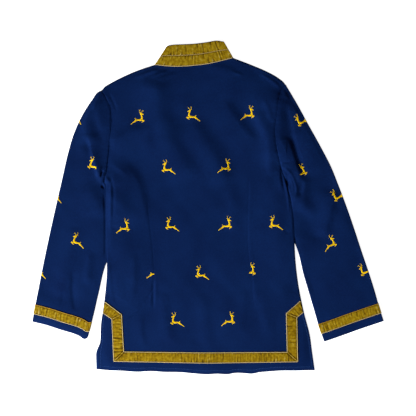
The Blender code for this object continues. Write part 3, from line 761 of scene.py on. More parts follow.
# Piece-dyed cotton in a close plain weave: matt and dark, with next to no shine, and faintly uneven in its
# dye. Its real threads are about 0.3 mm apart, too fine to show, so the weave is drawn at 1.2 mm
cotton = {
    "colours": ((0.3, "#081B46"), (0.7, "#0C2657")),
    "thread": 1.2,
    "mottle": (70.0, 3.0),  # size and detail
    "fleck": (3.5, 2.0),
    "relief": (0.35, 0.4),  # strength and depth
    "surface": {
        "Roughness": 0.85,
        "Specular IOR Level": 0.025,
        "Sheen Weight": 0.02,
        "Sheen Roughness": 0.5,
        "Sheen Tint": hexColour("#3D66B8"),
    },
}


def cottonMaterial():
    material, tree = newMaterial("navy cotton weave")
    place = addNode(tree, "ShaderNodeTexCoord").outputs["Object"]
    mottle, fleck = (
        addNode(tree, "ShaderNodeTexNoise", {"Vector": place, "Scale": perMetre(size), "Detail": detail})
        for size, detail in (cotton["mottle"], cotton["fleck"])
    )
    both = {0: mottle.outputs["Fac"], 1: fleck.outputs["Fac"]}
    both = addNode(tree, "ShaderNodeMath", both, operation="ADD")
    half = addNode(tree, "ShaderNodeMath", {0: both.outputs[0], 1: 0.5}, operation="MULTIPLY")
    colour = addNode(tree, "ShaderNodeValToRGB", {"Fac": half.outputs[0]}, cotton["colours"])
    spacing = bandScale(cotton["thread"] * 0.001)
    warp, weft = (
        addNode(tree, "ShaderNodeTexWave", {"Vector": place, "Scale": spacing}, bands_direction=way)
        for way in ("X", "Y")
    )
    weave = {0: warp.outputs["Fac"], 1: weft.outputs["Fac"]}
    weave = addNode(tree, "ShaderNodeMath", weave, operation="MULTIPLY")
    relief = {0: weave.outputs[0], 1: fleck.outputs["Fac"]}
    relief = addNode(tree, "ShaderNodeMath", relief, operation="ADD")
    finishMaterial(tree, cotton, colour.outputs["Color"], relief.outputs[0])
    return material


# Crushed cotton velvet: olive pile, unevenly crushed, with painted shade that turns its creases brown and a
# painted highlight beside each crease. The real pile is finer than the render shows, so it is drawn at 1.6 mm
velvet = {
    "colours": ((0.0, "#553E02"), (0.42, "#907208"), (0.66, "#AC901A"), (0.98, "#C9B478")),
    "pile": (1.6, 2.0),  # size and detail
    "crush": (6.0, 3.0),
    "relief": (0.5, 0.6),
    "surface": {
        "Roughness": 0.75,
        "Specular IOR Level": 0.05,
        "Sheen Weight": 0.12,
        "Sheen Roughness": 0.35,
        "Sheen Tint": hexColour("#D8B030"),
    },
}


def velvetMaterial():
    material, tree = newMaterial("crushed olive velvet")
    place = addNode(tree, "ShaderNodeTexCoord").outputs["Object"]
    # This attribute holds painted shade in the ribbon's creases and painted highlights beside them
    crease = addNode(tree, "ShaderNodeAttribute", attribute_name="crease").outputs["Fac"]
    crush, pile = (
        addNode(tree, "ShaderNodeTexNoise", {"Vector": place, "Scale": perMetre(size), "Detail": detail})
        for size, detail in (velvet["crush"], velvet["pile"])
    )
    shade = addNode(tree, "ShaderNodeMath", {0: crush.outputs["Fac"], 1: crease}, operation="SUBTRACT")
    colour = addNode(tree, "ShaderNodeValToRGB", {"Fac": shade.outputs[0]}, velvet["colours"])
    finishMaterial(tree, velvet, colour.outputs["Color"], pile.outputs["Fac"])
    return material


# Twisted rayon cord and embroidery thread: silky, with fine strands, painted darker in the grooves between
# them and lighter on their crests as painted shade and highlight. The embroidery's threads are about 0.4 mm
# apart, too fine to show, so they are drawn at 0.8 and 0.9 mm
threads = {
    "piping": {"dark": "#9C8344", "light": "#D9C58A", "strand": 1.5, "roughness": 0.5},
    "dull piping": {"dark": "#8A7030", "light": "#C8AE6C", "strand": 1.5, "roughness": 0.5},
    "gold piping": {"dark": "#8E6A12", "light": "#C79B38", "strand": 1.5, "roughness": 0.5},
    "gold thread": {"dark": "#EFB200", "light": "#FFDC0C", "strand": 0.9, "roughness": 0.6},
    "navy thread": {"dark": "#20407A", "light": "#3C60A4", "strand": 0.8, "roughness": 0.6},
}
threadLook = {"lightFrom": 0.6, "uneven": 0.4, "relief": (0.5, 0.3), "shine": 0.04}


def threadMaterial(name):
    facts = threads[name]
    material, tree = newMaterial("silky " + name)
    strand = addNode(tree, "ShaderNodeAttribute", attribute_name="strand").outputs["Vector"]
    inputs = {"Vector": strand, "Scale": bandScale(facts["strand"]), "Distortion": threadLook["uneven"]}
    band = addNode(tree, "ShaderNodeTexWave", inputs, bands_direction="X").outputs["Fac"]
    # Dark in the strands' grooves and light on their crests, as painted shade and highlight
    stops = ((0.0, facts["dark"]), (threadLook["lightFrom"], facts["light"]))
    colour = addNode(tree, "ShaderNodeValToRGB", {"Fac": band}, stops)
    surface = {"Roughness": facts["roughness"], "Specular IOR Level": threadLook["shine"]}
    look = {"surface": surface, "relief": threadLook["relief"]}
    finishMaterial(tree, look, colour.outputs["Color"], band)
    return material


cottonCloth = cottonMaterial()
velvetCloth = velvetMaterial()
silk = {name: threadMaterial(name) for name in threads}
print("materials made")

# Cells of the panels' grids: across, from stop to stop, and down, above and below the armpit. The first
# rows and columns lie close together, so that the cloth's edge is crisp
backCells = {"across": (64, 50, 66), "down": (92, 132), "edge": (0.0, 0.0007, 0.0018, 0.0035)}
frontCells = {"across": (22, 18, 1, 18, 22), "down": (44, 76), "edge": (0.0, 0.0018)}


# The body's plan between its outline's four sides
def bodyPlan(neck):
    first, last = body["neckShares"]
    top = joined((first, curve(body["leftShoulder"])), (last, neck), (1.0, curve(body["rightShoulder"])))
    left = joined((body["armpitShare"], curve(body["leftArmhole"])), (1.0, curve(body["leftSide"])))
    right = joined((body["armpitShare"], curve(body["rightArmhole"])), (1.0, curve(body["rightSide"])))
    return patch(top, curve(body["hem"]), left, right)


# Shares that step in quickly from both ends and evenly between the given stops
def evenShares(stops, counts, edge=(0.0, 0.001, 0.0025, 0.005)):
    shares = list(edge)
    stops = (2 * edge[-1] - edge[-2], *stops[1:-1], 1 - 2 * edge[-1] + edge[-2])
    for (low, high), count in zip(zip(stops[:-1], stops[1:]), counts):
        shares += list(np.linspace(low, high, count + 1)[(0 if low == stops[0] else 1) :])
    return shares + [1 - e for e in reversed(edge)]


# Roll of the panels' edges towards each other where they are sewn together
def edgeRoll(x, y):
    away = np.full(x.shape, farAway)
    for line in (body["leftShoulder"], body["rightShoulder"]):
        away = np.minimum(away, nearPath(fineLine(line, 20), x, y)[0])
    for sleeve in sleeves.values():
        sewn = [p for p in fineLine(sleeve["side"], 60) if p[1] > body["ventTop"]]
        away = np.minimum(away, nearPath(sewn, x, y)[0])
    return 1 - smooth(away / cloth["rollWidth"])


def makeBack():
    plan = bodyPlan(curve(body["backNeck"], byWidth=True))
    columns = evenShares((0, *body["neckShares"], 1), backCells["across"])
    rows = evenShares((0, body["armpitShare"], 1), backCells["down"], backCells["edge"])

    def place(across, down):
        x, y = plan(across, down).T
        z = backTop(x, y) - cloth["backRoll"] * edgeRoll(x, y)
        z = np.maximum(z, frontUnder(x, y) + cloth["leastBack"])
        # The armhole's seam allowance goes under the sleeve, as far down as the armpit
        past, over = cloth["allowanceEnd"]
        sewn = smooth((body["armpitShare"] + past - down) / over)
        for edge, outward in ((0.0, -1), (1.0, 1)):
            allowance = (across == edge) * sewn
            x = x + outward * cloth["allowance"] * allowance
            z = np.maximum(z - cloth["allowanceDrop"] * allowance, cloth["thickness"] + 0.1)
        return np.column_stack((x, y, z)), {}

    return gridPiece("back_cloth", columns, rows, place, cloth["thickness"])


def makeFront():
    first, last = body["neckShares"]
    middle = (first + last) / 2
    half = body["slitHalfShare"]
    gap = curve((body["leftFrontNeck"][-1], body["rightFrontNeck"][0]))
    share = (middle - half - first) / (last - first), (middle + half - first) / (last - first)
    neck = joined(
        (share[0], curve(body["leftFrontNeck"], byWidth=True)),
        (share[1], gap),
        (1.0, curve(body["rightFrontNeck"], byWidth=True)),
    )
    plan = bodyPlan(neck)
    columns = evenShares((0, first, middle - half, middle + half, last, 1), frontCells["across"])
    slitColumn = int(np.searchsorted(columns, middle - half + tiny)) - 1
    rows = evenShares((0, body["armpitShare"], 1), frontCells["down"], frontCells["edge"])

    def place(across, down):
        x, y = plan(across, down).T
        # The vent's front flap reaches out past the back
        reach = np.array(body["flapReach"])
        x = x - (across == 0) * np.interp(y, reach[:, 0], reach[:, 1])
        z = frontFace(x, y) + cloth["thickness"] + cloth["frontRoll"] * edgeRoll(x, y)
        return np.column_stack((x, y, z)), {}

    def inSlit(i, j):
        return i == slitColumn and rows[j] < body["slitShare"]

    return gridPiece("front_cloth", columns, rows, place, cloth["thickness"], inSlit)


# Height and inset of each step round a fold, from its underside up
def foldSteps(radius, cells):
    turns = np.radians(np.linspace(-90, 90, cells + 1))
    return [((1 + math.sin(turn)) / 2, radius * (1 - math.cos(turn))) for turn in turns]


# Stations round a flattened tube, each with its share across, its height from 0 underneath to 1
# on top, and how far it is set in at a fold
def tubeStations(cells, radius, foldCells=6, underCells=None):
    fold = foldSteps(radius, foldCells)
    shares = np.linspace(0, 1, cells + 1)[1:-1]
    underShares = np.linspace(0, 1, (underCells or cells) + 1)[1:-1]
    stations = [(0.0, *step) for step in fold] + [(share, 1.0, 0.0) for share in shares]
    stations += [(1.0, *step) for step in fold[::-1]] + [(share, 0.0, 0.0) for share in underShares[::-1]]
    return stations + [stations[0]]


# Cells of a sleeve's tube: across its top, its underside and a fold, and down to the cuff's zone and in it
sleeveCells = {"top": 84, "under": 32, "fold": 6, "down": 112, "cuff": 24}
mergeDistance = 0.001  # of points where a surface closes on itself


# A sleeve's plan: its top lies along the armhole's first part and its inner edge along the rest
def sleevePlan(name):
    sleeve = sleeves[name]
    seamLine = curve(sleeve["armhole"])
    shift = np.array((sleeve["outward"] * cloth["seam"], 0.0))
    cap, armpit, cuffStart = sleeveRows["cap"], sleeveRows["armpit"], sleeveRows["cuffStart"]

    def capLine(share):
        return seamLine(np.asarray(share) * cap) + shift

    def alongSeam(share):
        return seamLine(cap + np.asarray(share) * (1 - cap)) + shift

    outer, inner = curve(sleeve["outer"]), curve(sleeve["inner"])
    zone = sleeveRows["cuffZone"]
    innerShares = (0, (cuffStart - armpit) / (1 - armpit), 1)
    inner = paced(inner, innerShares, (0, inner.length - zone, inner.length))
    inner = joined((armpit, alongSeam), (1.0, inner))
    outer = paced(outer, (0, armpit, cuffStart, 1), (0, sleeve["abreast"], outer.length - zone, outer.length))
    if name == "left":
        return patch(capLine, curve(sleeve["cuff"]), outer, inner)
    return patch(turned(capLine), curve(sleeve["cuff"]), inner, outer)


# Width of a flattened tube or band at each of its rows
def planWidth(plan, down):
    return np.linalg.norm(plan(np.ones_like(down), down) - plan(np.zeros_like(down), down), axis=1)


# Shares across it: stations on its two folds are set in, and the others lie between the folds
def spread(share, inset, first, last):
    between = first + share * (1 - first - last)
    return np.where(share == 0, inset, np.where(share == 1, 1 - inset, between))


# Points of a sleeve's outer surface, or moved out of it
def sleeveSurface(name, plan, station, down, out=0.0):
    share, level, inset = station[:, 0], station[:, 1], station[:, 2]
    inner = 1.0 if name == "left" else 0.0
    atArmhole = down < sleeveRows["armpit"] + tiny
    opened = (share == inner) & atArmhole
    width = planWidth(plan, down)
    bulge = 2 * level - 1
    reach = np.where(opened, 0.0, np.sqrt(np.clip(1 - bulge**2, 0, 1)) * out)
    inset = np.where(opened, 0.0, inset) - np.where(np.isin(share, (0.0, 1.0)), reach, 0.0)
    fold = cloth["sleeveHeight"] / 2 / width
    atSeam = np.where(atArmhole, 0.0, fold)
    first, last = (fold, atSeam) if inner else (atSeam, fold)
    x, y = plan(spread(share, inset / width, first, last), down).T
    low = sleeveBase(name, x, y)
    high = sleeveTop(name, x, y)
    return np.column_stack((x, y, low + level * (high - low) + bulge * out))


def cuffShare(up):
    return 1 - (1 - sleeveRows["cuffStart"]) * np.asarray(up) / sleeveRows["cuffZone"]


def makeSleeve(name):
    plan, cells = sleevePlan(name), sleeveCells
    armpit, cuffStart = sleeveRows["armpit"], sleeveRows["cuffStart"]
    stations = tubeStations(cells["top"], cloth["sleeveHeight"] / 2, cells["fold"], cells["under"])
    rows = [
        *np.linspace(0, armpit, cells["down"])[:-1],
        *np.linspace(armpit, cuffStart, cells["down"])[:-1],
        *cuffShare(np.linspace(sleeveRows["cuffZone"], 0, cells["cuff"])),
    ]
    inner = 1.0 if name == "left" else 0.0

    def place(station, down):
        return sleeveSurface(name, plan, station, down), {}

    def inArmhole(i, j):
        return stations[i][0] == inner == stations[i + 1][0] and rows[j] < armpit - tiny

    piece = f"sleeve_{name}_cloth"
    return gridPiece(piece, stations, rows, place, cloth["thickness"], inArmhole, mergeDistance)


# The collar's three flat stretches, from the free edge down to the neckline
def collarPatches():
    middle = np.array(collar["neckMiddle"])

    def drawnIn(line):
        def at(share):
            points = line(share)
            way = middle - points
            return points + way / np.linalg.norm(way, axis=-1, keepdims=True) * cloth["seam"]

        return at

    backSeam = drawnIn(curve(body["backNeck"], byWidth=True))
    leftSeam = drawnIn(turned(curve(body["leftFrontNeck"], byWidth=True)))
    rightSeam = drawnIn(turned(curve(body["rightFrontNeck"], byWidth=True)))
    ends = np.array((0.0, 1.0))
    leftFold = curve((collar["top"][0], backSeam(ends)[0]))
    rightFold = curve((collar["top"][-1], backSeam(ends)[1]))
    leftEnd = curve((collar["leftFrontTop"][0], leftSeam(ends)[0]))
    rightEnd = curve((collar["rightFrontTop"][-1], rightSeam(ends)[1]))
    return (
        patch(curve(collar["leftFrontTop"]), leftSeam, leftEnd, leftFold),
        patch(curve(collar["top"]), backSeam, leftFold, rightFold),
        patch(curve(collar["rightFrontTop"]), rightSeam, rightFold, rightEnd),
    )


collarPlans = collarPatches()
collarHeight = 2 * cloth["wall"] + cloth["collarHollow"]
collarCells = {"across": 40, "down": 14, "start": 0.01}


# Stations along the collar from its left front end: stretch, share across it, level, inset
def collarStations(cells, foldCells=6):
    fold = foldSteps(collarHeight / 2, foldCells)
    half = np.linspace(0, 1, cells // 2 + 1)
    stations = [(0, share, 0.0, 0.0) for share in half[:-1]] + [(1, 0.0, *step) for step in fold]
    stations += [(1, share, 1.0, 0.0) for share in np.linspace(0, 1, cells + 1)[1:-1]]
    stations += [(1, 1.0, *step) for step in fold[::-1]]
    return stations + [(2, share, 0.0, 0.0) for share in half[1:]]


def collarSurface(station, down, out=0.0):
    stretch, share, level, inset = station.T
    width = planWidth(collarPlans[1], down)
    bulge = 2 * level - 1
    reach = np.sqrt(np.clip(1 - bulge**2, 0, 1)) * out
    inset = (inset - np.where(np.isin(share, (0.0, 1.0)), reach, 0.0)) / width
    fold = collarHeight / 2 / width
    share = np.where(stretch == 1, spread(share, inset, fold, fold), share)
    points = np.zeros((len(down), 2))
    for k, plan in enumerate(collarPlans):
        here = stretch == k
        points[here] = plan(share[here], down[here])
    return np.column_stack((points, cloth["underRibbon"] + level * collarHeight + bulge * out))


def makeCollar():
    rows = np.linspace(collarCells["start"], 1.0, collarCells["down"])

    def place(station, down):
        return collarSurface(station, down), {}

    stations = collarStations(collarCells["across"])
    return gridPiece("collar_cloth", stations, rows, place, cloth["thickness"])


# Crinkles of a ribbon. Lengths and heights are in millimetres, and pairs are the least and the most
crinkles = {
    "first": (2.0, 6.0),  # from the ribbon's start
    "least": 3.6,  # from one to the next
    "most": 9.0,
    "level": 0.12,
    "depth": (0.15, 0.7),
    "width": (1.0, 2.2),
    "slant": 1.4,
    "bow": 0.6,
    "fullness": (0.75, 0.25, 3.0),  # everywhere, more where it is deepest, and how fast that falls off
    "deepest": (0.1, 0.9),
    "short": 0.45,  # how many are short gathers that start at one sewn edge
    "shortReach": (0.25, 0.6),
    "shortFullness": 1.3,
    # painted shade in each crease, and a painted highlight beside it
    "shade": 0.5,
    "paintedHighlight": 0.55,  # painted highlight beside a crease
    "highlightShare": (0.2, 1.0),
    "beside": 2.4,
    "highlightWidth": 1.3,
    "puff": 0.3,
    "puffAfter": 3.2,
    "puffWidth": 2.4,
    "shades": (-0.5, 1.0),
}

# Those of the collar lie further apart, and most start at a sewn edge
collarCrinkles = crinkles | {"least": 4.5, "most": 12.0, "short": 0.8}

# Sewn edges pull in a little at each stitch, with painted shade along them that is deepest at each stitch.
# Their width is a share of the ribbon's
sewnEdge = {
    "width": 0.09, "pitch": 4.2, "drift": 2.0, "driftLength": 11.0, "fall": 0.18, "shade": (0.1, 0.22),
}

# A mitred corner is a low ridge with a painted highlight on it, and a dip beside it with a painted shadow
# line
mitre = {
    "width": 0.7, "rise": 0.15, "light": 0.5, "beside": 2.2, "besideWidth": 1.2, "fall": 0.45, "dark": 0.55,
}


# Height, and the painted shade in creases and painted highlights beside them, from places along and across a
# ribbon
def crinkle(along, across, seed, fromMitre=None, facts=crinkles):
    chance = np.random.default_rng(seed)
    height, dark = np.full(along.shape, facts["level"]), np.zeros(along.shape)
    place, stop = along.min() + chance.uniform(*facts["first"]), along.max()
    always, more, falls = facts["fullness"]
    while place < stop:
        slant, bow = chance.normal(0, facts["slant"]), chance.normal(0, facts["bow"])
        depth, width = chance.uniform(*facts["depth"]), chance.uniform(*facts["width"])
        centre = place + slant * (across - 0.5) + bow * np.sin(across * math.pi)
        near = bell((along - centre) / width)
        fullness = always + more * np.cos((across - chance.uniform(*facts["deepest"])) * falls)
        edge, reach = chance.integers(0, 2), chance.uniform(*facts["shortReach"])
        if chance.uniform() < facts["short"]:
            fullness = facts["shortFullness"] * bell(np.abs(across - edge) / reach)
        share = fullness * depth / facts["depth"][1]
        highlightNear = bell((along - centre + facts["beside"]) / facts["highlightWidth"])
        height -= depth * near * fullness
        height += facts["puff"] * depth * bell((along - centre - facts["puffAfter"]) / facts["puffWidth"])
        # Painted highlight beside the crease, and painted shade in it
        paintedHighlight = facts["paintedHighlight"] * highlightNear * share * chance.uniform(*facts["highlightShare"])
        dark += facts["shade"] * near * share - paintedHighlight
        place += chance.uniform(facts["least"], facts["most"])
    edge = bell(across / sewnEdge["width"]) + bell((1 - across) / sewnEdge["width"])
    drift = sewnEdge["drift"] * np.sin(along / sewnEdge["driftLength"])
    stitch = 0.5 + 0.5 * np.sin(along * 2 * math.pi / sewnEdge["pitch"] + drift)
    height -= edge * (sewnEdge["fall"] + sewnEdge["fall"] * stitch)
    # Painted shade along the sewn edges, deepest at each stitch
    dark += edge * (sewnEdge["shade"][0] + sewnEdge["shade"][1] * stitch)
    if fromMitre is not None:
        near = bell(fromMitre / mitre["width"])
        beside = bell((fromMitre - mitre["beside"]) / mitre["besideWidth"])
        height += mitre["rise"] * near - mitre["fall"] * beside
        # Painted highlight on the mitre's ridge and painted shade beside it
        dark += mitre["dark"] * beside - mitre["light"] * near
    return height, np.clip(dark, *facts["shades"])


# A ribbon's middle lies this far above the cloth. Cells are those along the hem's, and rows across all
ribbon = {"thickness": 0.6, "lift": 0.75, "floorGap": 0.05, "cell": 1.6, "rows": 13, "seam": 3.0}
cuffRound = np.array(tubeStations(92, cloth["sleeveHeight"] / 2, 8))
collarRound = np.array(collarStations(120, 8))


# The front's hem ribbon lies right under the front
def underFront(x, y):
    return frontUnder(x, y) - cloth["underRibbon"] + ribbon["floorGap"]


def makeHemRibbon(name, surface, seed):
    outside, inside = np.array(hemRibbon["outside"]), np.array(hemRibbon["inside"])
    cross = hemRibbon["cross"]
    legs = np.linalg.norm(np.diff(ribbonMiddle, axis=0), axis=1)
    ways = np.diff(ribbonMiddle, axis=0) / legs[:, None]
    lengths = lengthsAlong(ribbonMiddle)
    corners = np.arange(len(outside))
    stations = [0.0]
    for leg, length in enumerate(legs):
        cells = max(int(length / ribbon["cell"]), 4)
        stations += [leg + (cell + 1) / cells for cell in range(cells)]

    def place(station, row):
        start, end = readLine(inside, corners, station), readLine(outside, corners, station)
        points = start + (end - start) * row[:, None]
        x, y = points[:, 0], points[:, 1]
        # Crinkles run straight across each leg and stop at the mitred corners
        leg = np.clip(np.ceil(station - tiny).astype(int) - 1, 0, len(legs) - 1)
        along = lengths[leg] + ((points - ribbonMiddle[leg]) * ways[leg]).sum(axis=1)
        fromMitre = np.full(len(x), farAway)
        for corner in hemRibbon["corners"]:
            fromMitre = np.minimum(fromMitre, nearPath((inside[corner], outside[corner]), x, y)[0])
        height, dark = crinkle(along, row, seed, fromMitre)
        # A cross crease is pressed in with painted shade in it, and the whole ribbon gets a little painted
        # shade
        crossed = bell(nearPath(cross["path"], x, y)[0] / cross["width"])
        height = height - cross["depth"] * crossed
        dark = dark + cross["dark"] * crossed + hemRibbon["shade"]
        z = surface(x, y) + (ribbon["lift"] + height)
        z = np.maximum(z, ribbon["thickness"] + ribbon["floorGap"])
        return np.column_stack((x, y, z)), {"crease": dark}

    return gridPiece(name, stations, np.linspace(0, 1, ribbon["rows"]), place, ribbon["thickness"])


# Stations round a cuff or along the collar, each with its length along the ribbon's middle row
def measured(stations, surfaceAt, rows):
    middle = np.full(len(stations), rows[len(rows) // 2])
    return np.column_stack((stations, lengthsAlong(surfaceAt(stations, middle))))


def makeCuffRibbon(name, seed):
    plan = sleevePlan(name)
    rows = cuffShare(np.linspace(*sleeves[name]["ribbon"], ribbon["rows"]))
    table = measured(cuffRound, lambda station, down: sleeveSurface(name, plan, station, down), rows)

    def place(station, down):
        across = (down - rows[0]) / (rows[-1] - rows[0])
        along = station[:, 3]
        height, dark = crinkle(along, across, seed)
        # Nothing jumps where its two ends are sewn together
        start = smooth(np.minimum(along, table[-1, 3] - along) / ribbon["seam"])
        points = sleeveSurface(name, plan, station, down, ribbon["lift"] + height * start)
        return points, {"crease": dark * start}

    piece = f"cuff_ribbon_{name}_cloth"
    return gridPiece(piece, table, rows, place, ribbon["thickness"], merge=mergeDistance)


def makeCollarRibbon(name, seed):
    first, last = collar["ribbons"][name]
    rows = np.linspace(first, last, ribbon["rows"])

    def place(station, down):
        across = (down - first) / (last - first)
        height, dark = crinkle(station[:, 4], across, seed, None, collarCrinkles)
        return collarSurface(station[:, :4], down, ribbon["lift"] + height), {"crease": dark}

    table = measured(collarRound, collarSurface, rows)
    return gridPiece(f"collar_ribbon_{name}_cloth", table, rows, place, ribbon["thickness"])


# The twisted pipings: half their width and height, and how far past a ribbon's edge they lie
piping = {
    "radius": 0.85,
    "rise": 0.5,
    "sides": 8,
    "step": 1.5,
    "twist": 0.35,
    "gap": 0.12,
    "besideHem": 0.6,
    "besideCuff": 0.8,
}


# A round cord along points, with a sideways and an upward direction at each
def cordAlong(name, centre, sideways, up):
    angles = np.linspace(0, 2 * math.pi, piping["sides"] + 1)
    radius, rise = piping["radius"], piping["rise"]
    lengths = lengthsAlong(centre)

    def place(angle, index):
        k = index.astype(int)
        turn = sideways[k] * np.cos(angle)[:, None] * radius + up[k] * np.sin(angle)[:, None] * rise
        strand = np.column_stack((lengths[k] + piping["twist"] * radius * angle, angle, np.zeros(len(k))))
        points = centre[k] + turn
        points[:, 2] = np.maximum(points[:, 2], cloth["floorGap"])
        return points, {"strand": strand}

    return gridPiece(name, angles, np.arange(len(centre)), place, merge=mergeDistance)


# Cord that lies along a plan line on a surface, above it or, with -1, below it
def layPiping(name, line, surface, above):
    lengths = lengthsAlong(line)
    stops = np.linspace(0, lengths[-1], int(lengths[-1] / piping["step"]))
    plan = readLine(line, lengths, stops)
    z = surface(plan[:, 0], plan[:, 1]) + above * (piping["rise"] + piping["gap"])
    along = np.gradient(plan, axis=0)
    sideways = unit(np.column_stack((along[:, 1], -along[:, 0], np.zeros(len(z)))))
    up = np.tile((0.0, 0.0, 1.0), (len(z), 1))
    return cordAlong(name, np.column_stack((plan, z)), sideways, up)


# Cord round a tube or band, whose surface gives points at a distance out from it
def wrapPiping(name, surfaceAt):
    centre = surfaceAt(piping["rise"] + piping["gap"])
    up = unit(surfaceAt(1.0) - surfaceAt(0.0))
    along = unit(np.gradient(centre, axis=0))
    return cordAlong(name, centre, unit(np.cross(along, up)), up)


def makePipings():
    made = []
    for label, surface, above in (("back", backTop, 1), ("front", frontFace, -1)):
        for edge in ("outside", "inside"):
            line = np.array(hemRibbon[edge])
            line = line + unit(line - ribbonMiddle) * piping["besideHem"]
            made.append(layPiping(f"hem_piping_{label}_{edge}", line, surface, above))
    for name in sleeves:
        plan = sleevePlan(name)
        upper, lower = sleeves[name]["ribbon"]
        for label, up in (("upper", upper + piping["besideCuff"]), ("lower", lower - piping["besideCuff"])):
            down = np.full(len(cuffRound), cuffShare(up))
            piece = f"cuff_piping_{name}_{label}"
            made.append(wrapPiping(piece, lambda out: sleeveSurface(name, plan, cuffRound, down, out)))
    for label, share in (("middle", 0.5), ("neck", 1.0)):
        down = np.full(len(collarRound), share)
        made.append(wrapPiping(f"collar_piping_{label}", lambda out: collarSurface(collarRound, down, out)))
    return made


# A leaping stag in satin stitch, facing left: each limb is a path with half widths along it
stag = {
    "raise": 0.35,
    "fullHeight": 1.4,  # half width from which a limb has its full height
    "under": -0.12,
    "size": 0.94,
    "stout": 0.98,
    "cell": 1.1,
    "sides": 8,
    "ends": (0.55, 0.45),  # a limb's ends are this much of their width
    "limbs": (
        (((-7.0, -6.8), (-2.0, -7.8), (3.0, -7.6), (7.0, -7.8)), (3.0, 2.3, 1.8, 2.0)),
        (((-7.4, -6.4), (-7.8, -1.8), (-6.8, 3.0), (-3.6, 8.8)), (3.0, 1.9, 1.6, 1.5)),
        (((-3.4, 9.4), (-7.0, 7.2), (-12.0, 5.0)), (1.5, 1.8, 0.7)),
        (((-2.8, 9.8), (-0.8, 11.4)), (0.8, 0.35)),
        (((-5.2, 9.8), (-8.4, 12.2), (-9.8, 16.0)), (0.6, 0.5, 0.3)),
        (((-8.6, 12.6), (-12.0, 14.0)), (0.5, 0.3)),
        (((-3.8, 10.4), (-2.4, 13.6), (-4.2, 17.6)), (0.6, 0.5, 0.3)),
        (((-2.8, 13.6), (-0.6, 16.2)), (0.45, 0.3)),
        (((-7.6, -8.2), (-11.0, -8.6), (-14.2, -9.0)), (1.5, 1.2, 0.8)),
        (((-13.8, -9.2), (-10.2, -11.6), (-6.6, -13.6)), (0.9, 0.8, 0.5)),
        (((-7.4, -9.2), (-9.6, -10.4), (-11.0, -12.4)), (1.0, 0.7, 0.4)),
        (((5.8, -7.4), (9.6, -10.6), (14.0, -14.2), (18.8, -18.2)), (2.2, 1.3, 1.0, 0.8)),
        (((5.0, -8.6), (8.4, -11.8), (11.2, -13.8)), (1.2, 0.8, 0.4)),
        (((6.6, -6.8), (8.2, -5.2), (9.2, -3.2)), (1.0, 0.8, 0.4)),
    ),
}

# Where the stags lie on each cloth: x, y and facing (1 right, -1 left), then where they have them a tilt in
# degrees and a cut, the side that stays (x, y of a point on its edge, and the direction into it)
stagPlaces = {
    "back": (
        (-155.7, 204.8, 1), (-35.1, 211.7, -1), (91.4, 214.9, 1), (-90.7, 92.5, -1), (38.9, 95.4, 1),
        (-188.6, -40.0, 1), (-82.4, -36.0, -1), (41.2, -34.2, 1), (151.0, -32.9, -1),
        (-120.5, -141.8, 1, 0, ((-121.3, -150), (-1, 0))),
        (-14.9, -145.1, -1),
        (94.5, -138.6, 1, 0, ((93.0, -150), (1, 0))),
        (-71.1, -250.9, -1), (47.8, -248.9, 1),
    ),
    "left": (
        (-293.5, 210.0, -1, -28),
        (-256.5, 99.0, -1, -10, ((-251.5, 90), (-1, 0))),
        (-343.0, 31.0, -1, -14), (-293.3, -71.7, -1, -12), (-379.0, -140.0, -1, -12),
    ),
    "right": (
        (209.2, 198.7, -1, 33),
        (208.0, 83.0, 1, 20, ((206.0, 80), (1, 0.2))),
        (291.2, 29.7, -1, 33), (275.2, -77.6, 1, 18), (352.8, -138.6, -1, 26),
    ),
    "front": (
        (-160.0, 200.0, 1), (95.0, 206.0, -1), (-100.0, 120.0, -1), (40.0, 118.0, 1),
        (-180.0, 20.0, 1), (-75.0, 16.0, -1), (50.0, 20.0, 1), (140.0, 18.0, -1),
        (-125.0, -90.0, -1), (0.0, -95.0, 1), (110.0, -92.0, -1),
        (-60.0, -200.0, 1), (70.0, -205.0, -1),
    ),
}


# One stag at its place in the plan, as points above a cloth: plan point and height
def drawStag(shape, strand, centreX, centreY, facing, tilt=0, cut=None):
    turn = math.radians(tilt)
    sides = stag["sides"]
    mine = []
    for path, widths in stag["limbs"]:
        line = curve(path)
        cells = max(int(line.length / stag["cell"]), 3)
        stops = np.linspace(0, 1, cells + 1)
        points = line(stops)
        along = unit(np.gradient(points, axis=0))
        normal = np.column_stack((along[:, 1], -along[:, 0]))
        half = np.interp(stops, np.linspace(0, 1, len(widths)), widths) * stag["stout"]
        half[0] *= stag["ends"][0]
        half[-1] *= stag["ends"][1]
        rings = []
        for k in range(cells + 1):
            ring = bmesh.ops.create_circle(shape, cap_ends=False, segments=sides, radius=1.0)["verts"]
            for n, vert in enumerate(ring):
                angle = 2 * math.pi * n / sides
                spot = points[k] + normal[k] * half[k] * math.cos(angle)
                rise = stag["raise"] * min(half[k] / stag["fullHeight"], 1.0) ** 0.5 * math.sin(angle)
                vert.co = (spot[0], spot[1], max(rise, stag["under"]))
                vert[strand] = (stops[k] * line.length, half[k] * math.cos(angle), 0.0)
            rings.append(ring)
            mine += ring
        for low, high in zip(rings[:-1], rings[1:]):
            for n in range(sides):
                m = (n + 1) % sides
                shape.faces.new((low[n], low[m], high[m], high[n]))
        shape.faces.new(rings[0][::-1])
        shape.faces.new(rings[-1])
    for vert in mine:
        x, y = -facing * vert.co.x * stag["size"], vert.co.y * stag["size"]
        vert.co.x = centreX + x * math.cos(turn) - y * math.sin(turn)
        vert.co.y = centreY + x * math.sin(turn) + y * math.cos(turn)
    if cut:
        (px, py), (dx, dy) = cut
        edges = {e for v in mine for e in v.link_edges}
        faces = {f for v in mine for f in v.link_faces}
        geometry = [*mine, *edges, *faces]
        bmesh.ops.bisect_plane(
            shape, geom=geometry, plane_co=(px, py, 0), plane_no=(dx, dy, 0), clear_inner=True
        )


